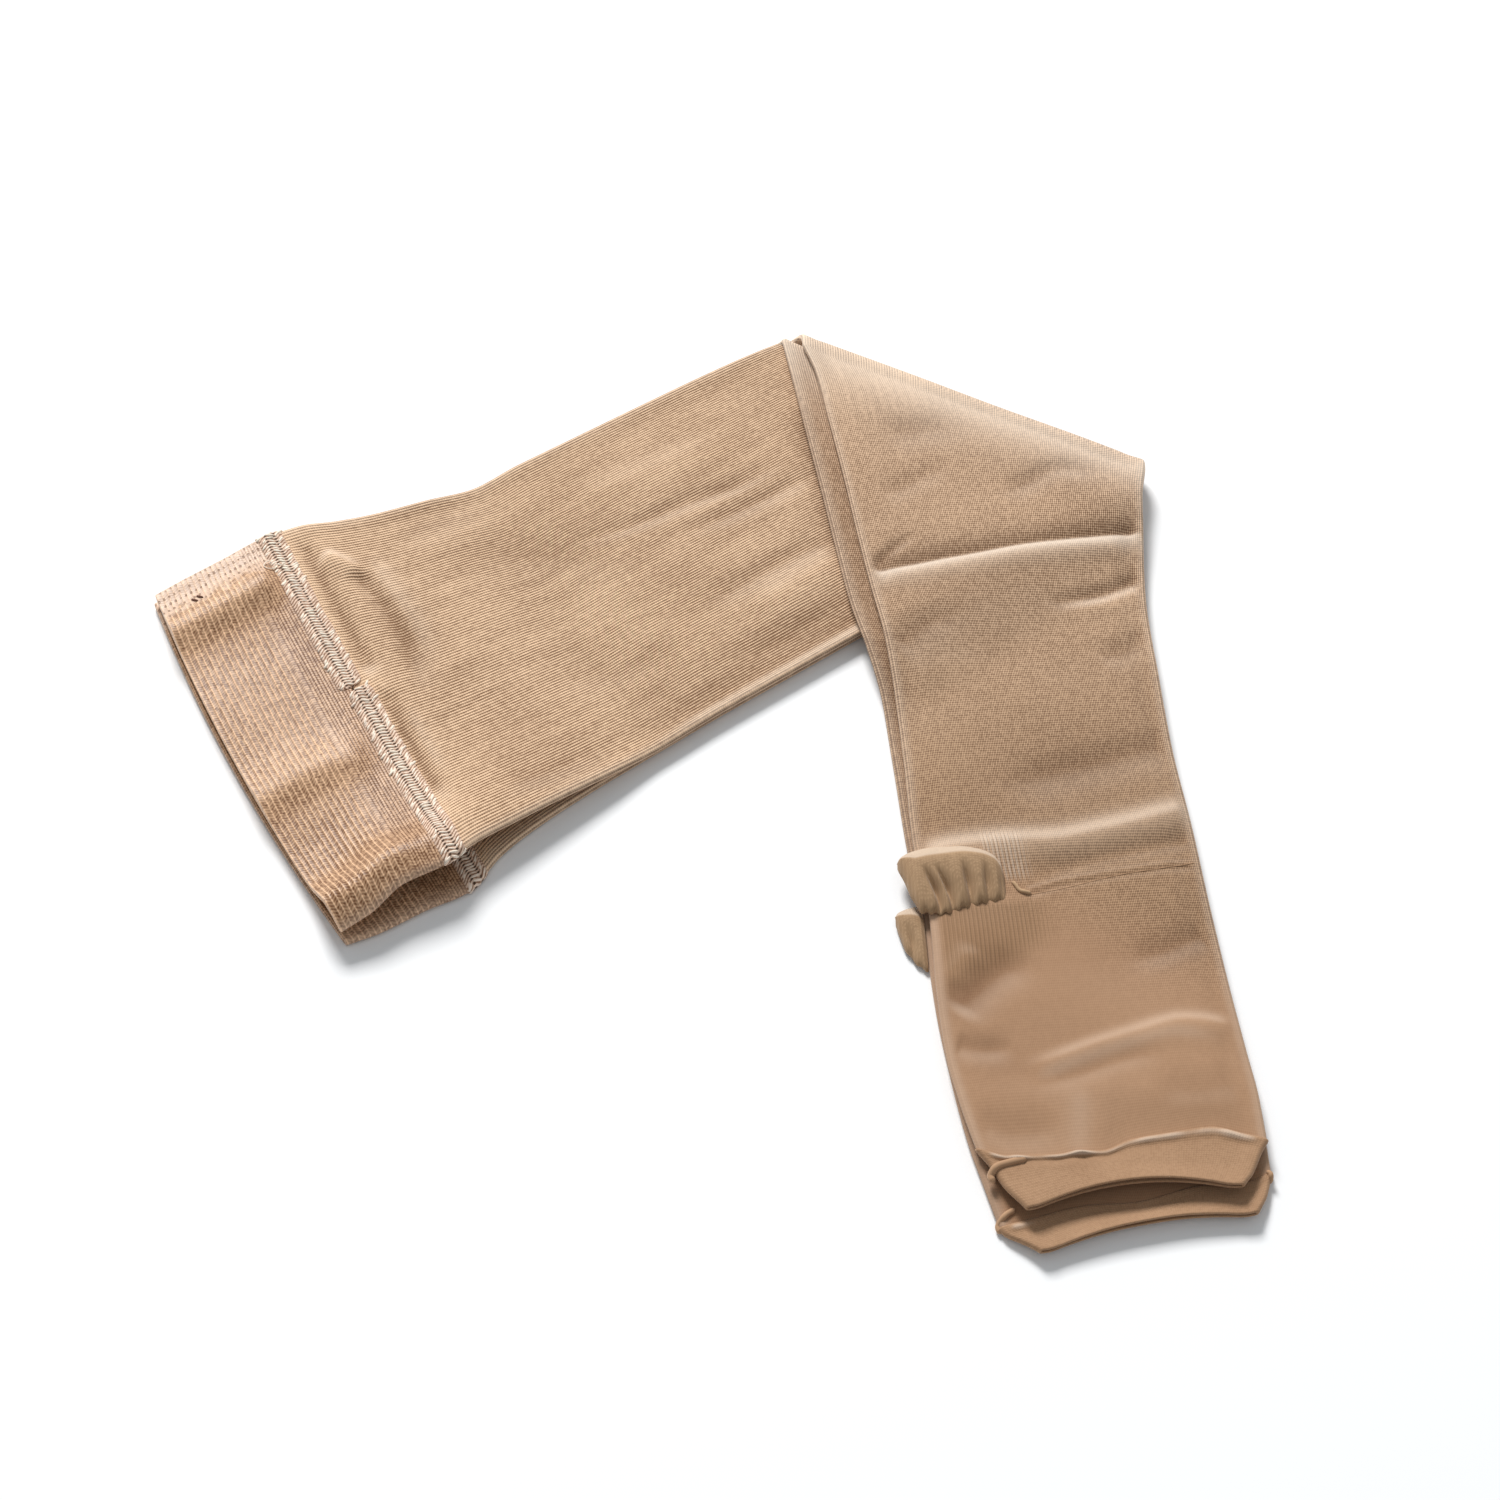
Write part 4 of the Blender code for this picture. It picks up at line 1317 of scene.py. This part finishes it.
def plainMesh(thing):
    # the modifiers' result as an ordinary mesh, with no modifier left
    bpy.context.view_layer.update()
    evaluated = thing.evaluated_get(bpy.context.evaluated_depsgraph_get())
    mesh = bpy.data.meshes.new_from_object(evaluated)
    old = thing.data
    thing.modifiers.clear()
    thing.data = mesh
    bpy.data.meshes.remove(old)
    return thing


stitchNodes, stitchSockets = stitchTree("overlock_stitches")


def addStitches(name, place, outward, across, finish):
    mesh = bpy.data.meshes.new(name)
    mesh.from_pydata(placed(place), [], [])
    for label, values in (("outward", outward), ("across", across)):
        attribute = mesh.attributes.new(label, "FLOAT_VECTOR", "POINT")
        attribute.data.foreach_set("vector", values.astype(np.float32).ravel())
    thing = bpy.data.objects.new(name, mesh)
    bpy.context.collection.objects.link(thing)
    modifier = thing.modifiers.new("stitches", "NODES")
    modifier.node_group = stitchNodes
    modifier[stitchSockets["Thread Cloth"]] = finish
    plainMesh(thing)
    thing.data.shade_smooth()
    return thing


seams, stitches = {}, {}
for stocking in (over, under):
    which = stocking["name"]
    seams[which], place, outward, across = addSeam(stocking)
    stitches[which] = addStitches(which + "_overlock_stitches", place, outward, across, threadFinish)
print("seams made")


# heel pockets: pleated flaps at the back edge

# the height of a pocket across it, from its lip to its gathered side
heelArch = (
    (0, 0), (0.03, 0.22), (0.1, 0.52), (0.2, 0.82), (0.3, 1),
    (0.5, 0.94), (0.7, 0.8), (0.88, 0.58), (0.97, 0.34), (1, 0.12),
)
underHeel = {
    "name": "under_heel_pocket_knit",
    "base": lie["step"] + 3,
    # out, knee side, toe side, height
    "rows": (
        (-49.2, 234.4, 236.2, 1.6),
        (-48.2, 232.4, 239.6, 3.6),
        (-46.8, 231, 244.6, 4.8),
        (-45, 229.8, 250.4, 5.6),
        (-42.6, 228.8, 256, 6.1),
        (-36, 227.6, 256.8, 6.8),
        (-27, 227.4, 255.2, 7.2),
        (-20, 228.8, 253.6, 6.8),
        (-14.6, 231.6, 252.8, 5.6),
        (-12.2, 235, 252.4, 3.6),
        (-11.2, 239, 251.6, 1.6),
    ),
    # out at the lip, out at the gathered end, depth
    "pleats": (
        (-44.5, -35.6, 0.8),
        (-40.5, -31.2, 0.72),
        (-27.6, -24.2, 0.62),
        (-18.6, -17.8, 0.5),
        (-12.9, -12.6, 0.3),
    ),
}
overHeel = {
    "name": "over_heel_pocket_knit",
    "base": 0.6,
    "rows": (
        (-51.4, 253.6, 257, 2),
        (-50.4, 252, 263, 3.6),
        (-48.6, 250.8, 268.6, 4.8),
        (-46, 249.8, 273, 5.2),
        (-43, 249.2, 276.4, 4.6),
        (-41.4, 249.2, 277, 3.2),
    ),
    "pleats": ((-49, -46.4, 0.4),),
}


def addHeel(pocket):
    rows = np.array(pocket["rows"], float)
    outs = np.linspace(rows[0, 0], rows[-1, 0], 110)
    kneeSide, toeSide, height = throughRows(rows[:, 0], rows[:, 1:], outs).T
    shares = np.linspace(0, 1, 60) ** 1.15
    arch = throughRows(*zip(*heelArch), shares)
    v = shares[None, :]
    out = outs[:, None] + 0 * v
    pull = np.zeros_like(out)
    for lip, end, depth in pocket["pleats"]:
        line = lip + (end - lip) * smooth(v * 1.05) ** 0.8
        off = out - line
        wide = np.where(off > 0, 2.1, 1.0)
        pleat = depth * smooth((v - 0.34) / 0.4) * np.exp(-((np.abs(off) / wide) ** 1.2))
        pull = np.maximum(pull, pleat)
    # soft lobes between the pleats
    puffs = 1 + 0.04 * np.sin(out * 0.85 + 0.6) * smooth((v - 0.25) / 0.4)
    tall = height[:, None] * arch[None, :] * (1 - pull) * puffs
    along = kneeSide[:, None] + v * (toeSide - kneeSide)[:, None]
    along = along + 0.5 * np.sin(out * 1.9) * smooth((v - 0.8) / 0.2)
    plan = onShin(along[..., None], out[..., None])
    points = np.concatenate([plan, (pocket["base"] + 0.15 + tall)[..., None]], axis=2)
    i, j = np.meshgrid(np.arange(len(outs) - 1), np.arange(len(shares) - 1), indexing="ij")
    corners = ((i, j), (i, j + 1), (i + 1, j + 1), (i + 1, j))
    quads = np.stack([row * len(shares) + column for row, column in corners], axis=-1)
    cloth = np.stack([out / 1.1, along + 2 * tall], axis=-1)
    uvs = np.stack([cloth[corner] for corner in corners], axis=-2)
    # painted highlight on the lip, which faces the light; the pleat depth goes in the painted-light mark too,
    # for the shade deep in the pleats, though the heel knit reads only the lip
    lip = 1.3 * (1 - smooth((v - 0.2) / 0.1)) + 0 * out
    marks = {"relief": lip, "wear": pull}
    thing = addMesh(pocket["name"], points, quads, uvs, heelFinish, marks)
    wall = thing.modifiers.new("wall", "SOLIDIFY")
    wall.thickness, wall.offset = 0.8 * mm, -1.0
    return thing


heels = {"over": addHeel(overHeel), "under": addHeel(underHeel)}
print("heel pockets made")


# small sewn details


def addThread(name, path, radius, finish, sides=8):
    # a thread along a smooth path, closed at both ends
    path = np.array(path, float)
    run = runAlong(path)
    fine = np.linspace(0, run[-1], max(12, int(run[-1] / 0.25)))
    centre = throughRows(run, path, fine)
    way = np.gradient(centre, axis=0)
    way /= np.linalg.norm(way, axis=1, keepdims=True)
    side = np.cross(way, (0.0, 0.0, 1.0))
    side /= np.maximum(np.linalg.norm(side, axis=1, keepdims=True), 1e-6)
    up = np.cross(side, way)
    turn = np.linspace(0, 2 * math.pi, sides, endpoint=False)[None, :, None]
    share = np.linspace(0, 1, len(fine))
    ends = np.clip(np.minimum(share, 1 - share) * run[-1] / radius, 0.02, 1) ** 0.5
    thick = (radius * ends)[:, None, None]
    points = centre[:, None] + thick * (np.cos(turn) * side[:, None] + np.sin(turn) * up[:, None])
    faces = ringFaces(np.zeros(sides + 1), np.zeros((len(fine), sides)))
    thing = addMesh(name, points, *faces, finish)
    closeEnds(thing)
    return thing


surfaces = {}
for thing in (*legs.values(), *bands.values(), *seams.values(), *heels.values(), *cuffs.values()):
    corners = [corner.co for corner in thing.data.vertices]
    faces = [tuple(face.vertices) for face in thing.data.polygons]
    surfaces[thing.name] = BVHTree.FromPolygons(corners, faces)


def topOf(things, x, y):
    # the height of the highest of these surfaces above a place on the plan, in millimetres
    fromAbove = Vector(((x - lie["middle"][0]) * mm, (y - lie["middle"][1]) * mm, 0.1))
    heights = [0.0]
    for thing in things:
        hit = surfaces[thing.name].ray_cast(fromAbove, Vector((0.0, 0.0, -1.0)))
        if hit[0] is not None:
            heights.append(hit[0].z / mm)
    return max(heights)


def laid(path, things, toPlan, lowest):
    # a path given as along, out and height above the cloth
    places = [(*toPlan(along, out), above) for along, out, above in path]
    return [(x, y, max(topOf(things, x, y) + above, lowest)) for x, y, above in places]


bandTop = (bands["over"], seams["over"], legs["over"])
toeTops = {which: (legs[which], cuffs[which]) for which in ("over", "under")}
loosePath = (
    (53.6, 79, 0.5), (51.2, 78.6, 0.7), (49.6, 77, 0.6), (50.4, 74.8, 0.5),
    (52.6, 74.4, 0.8), (54.2, 75.4, 1.1), (55.6, 74, 0.9), (57, 74.6, 0.5),
)
tackPaths = [
    [
        (18.4 + k * 2.5 + 0.5 * j, 78.6 + k * 0.5 - 1.05 * j, 0.12 + 0.14 * (1 - (j - 1.5) ** 2 / 2.25))
        for j in range(4)
    ]
    for k in (0, 1)
]
nubPath = ((244.4, -8.4, -0.1), (246.4, -7.4, 0.3), (248.6, -6.2, 0.2), (249.6, -4.2, 0.5), (250.2, -2.2, 0))
instepPath = [
    (250.4 - 11.2 * share + 0.4 * math.sin(9 * share), -2.4 + 61.0 * share, 0.0)
    for share in np.linspace(0, 1, 60)
]
# the cuff edges that roll up at the back of the toes
underRoll = (
    (364, -28.4, -0.6), (361.6, -29.2, 0), (359, -27.4, 0.3), (357.2, -22.6, 0.3), (356, -16.6, -0.8),
)
overRoll = ((380, -27.6, -0.1), (377.6, -28.2, 0.4), (374.4, -25.6, 0.4), (372, -22, 0.1))
toeNub = ((362.8, 63.6, 0), (364.4, 64.8, 0.6), (366.6, 64.6, 0.2))
onFloor, onCuff = 1.15, 6.4  # the lowest that a thread lies
details = []
for name, slot, finish, radius, lowest, toPlan, things, path in (
    ("over_seam_loose_thread", "overlock_seam", threadFinish, 0.2, onFloor, onThigh, bandTop, loosePath),
    ("over_band_tack_0", "overlock_seam", darkThreadFinish, 0.48, onFloor, onThigh, bandTop, tackPaths[0]),
    ("over_band_tack_1", "overlock_seam", darkThreadFinish, 0.48, onFloor, onThigh, bandTop, tackPaths[1]),
    ("under_heel_nub", "heel_knit", heelFinish, 0.75, onFloor, onShin, [legs["under"]], nubPath),
    ("under_instep_stitch_line", "heel_knit", cuffFinish, 0.17, onFloor, onShin, [legs["under"]], instepPath),
    ("under_toe_roll", "cuff_knit", cuffFinish, 1.3, onCuff, onShin, toeTops["under"], underRoll),
    ("over_toe_roll", "cuff_knit", cuffFinish, 1.05, onFloor, onShin, toeTops["over"], overRoll),
    ("over_toe_nub", "cuff_knit", cuffFinish, 0.9, onFloor, onShin, toeTops["over"], toeNub),
):
    thread = addThread(name, laid(path, things, toPlan, lowest), radius, finish)
    details.append((thread, slot))
print("details made")


# each piece hangs under the root and hides the imported part it replaces

cut = {  # flat width and length in metres, with the area where the cut tapers
    "leg": ((0.36, 0.63), 0.175),
    "band": ((0.37, 0.05), None),
    "seam": ((0.37, 0.0105), None),
    "underHeel": ((0.045, 0.033), None),
    "overHeel": ((0.022, 0.016), None),
    "overCuff": ((0.19, 0.013), None),
    "underCuff": ((0.18, 0.025), None),
}

for which in ("over", "under"):
    lying = ["floor"] if which == "under" else ["under_leg_knit"]
    for group, stands, slot in (
        (legs, "_leg", "leg_knit"),
        (bands, "_thigh_band", "band_elastic"),
        (seams, "_band_seam", "overlock_seam"),
        (heels, "_heel_pocket", "heel_knit"),
        (cuffs, "_toe_cuff", "cuff_knit"),
    ):
        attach(group[which], "root")
        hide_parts(which + stands)
    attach(stitches[which], "root")
    cut[which + "Heel"][0]
    cut[which + "Cuff"][0]
for thing, slot in details:
    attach(thing, "root")


# floor, light and camera
studio = {
    "floor": 4.0,
    "floorPaint": (0.93, 0.93, 0.93),
    "worldLight": 0.43,
    "worldPaint": (0.93, 0.97, 1.0),
    "keyPower": 300.0,
    "keySize": 1.5,
    "keyPlace": (-1.05, 3.67, 3.22),
    "cameraHeight": 53.0,  # degrees above the floor
    "cameraDistance": 0.98113,
    "lens": 62.4,
    "lookAt": (0.0297, -0.0026, 0.0),
}


def addStudio():
    bpy.ops.mesh.primitive_plane_add(size=studio["floor"], location=(0, 0, -0.0002))
    floor = bpy.context.object
    floor.name = "floor"
    paint = bpy.data.materials.new("floor_paint")
    paint.use_nodes = True
    shader = paint.node_tree.nodes["Principled BSDF"]
    shader.inputs["Base Color"].default_value = (*studio["floorPaint"], 1)
    shader.inputs["Roughness"].default_value = 0.9
    shader.inputs["Specular IOR Level"].default_value = 0.0
    floor.data.materials.append(paint)
    world = bpy.data.worlds.new("studio")
    world.use_nodes = True
    background = world.node_tree.nodes["Background"]
    background.inputs[0].default_value = (*studio["worldPaint"], 1)
    background.inputs[1].default_value = studio["worldLight"]
    bpy.context.scene.world = world
    light = bpy.data.lights.new("keyLight", "AREA")
    light.shape, light.size, light.energy = "SQUARE", studio["keySize"], studio["keyPower"]
    thing = bpy.data.objects.new("keyLight", light)
    x, y, z = thing.location = studio["keyPlace"]
    thing.rotation_euler = (math.atan2(math.hypot(x, y), z), 0.0, math.atan2(-y, -x) - math.pi / 2)
    bpy.context.collection.objects.link(thing)
    data = bpy.data.cameras.new("camera")
    data.lens, data.sensor_width = studio["lens"], 36.0
    data.clip_start, data.clip_end = 0.01, 20.0
    camera = bpy.data.objects.new("camera", data)
    tilt = math.radians(studio["cameraHeight"])
    x, y, z = studio["lookAt"]
    away = studio["cameraDistance"]
    camera.location = (x, y - away * math.cos(tilt), z + away * math.sin(tilt))
    camera.rotation_euler = (math.pi / 2 - tilt, 0.0, 0.0)
    bpy.context.collection.objects.link(camera)
    bpy.context.scene.camera = camera
    bpy.context.scene.view_settings.view_transform = "Standard"


addStudio()
print("studio made")
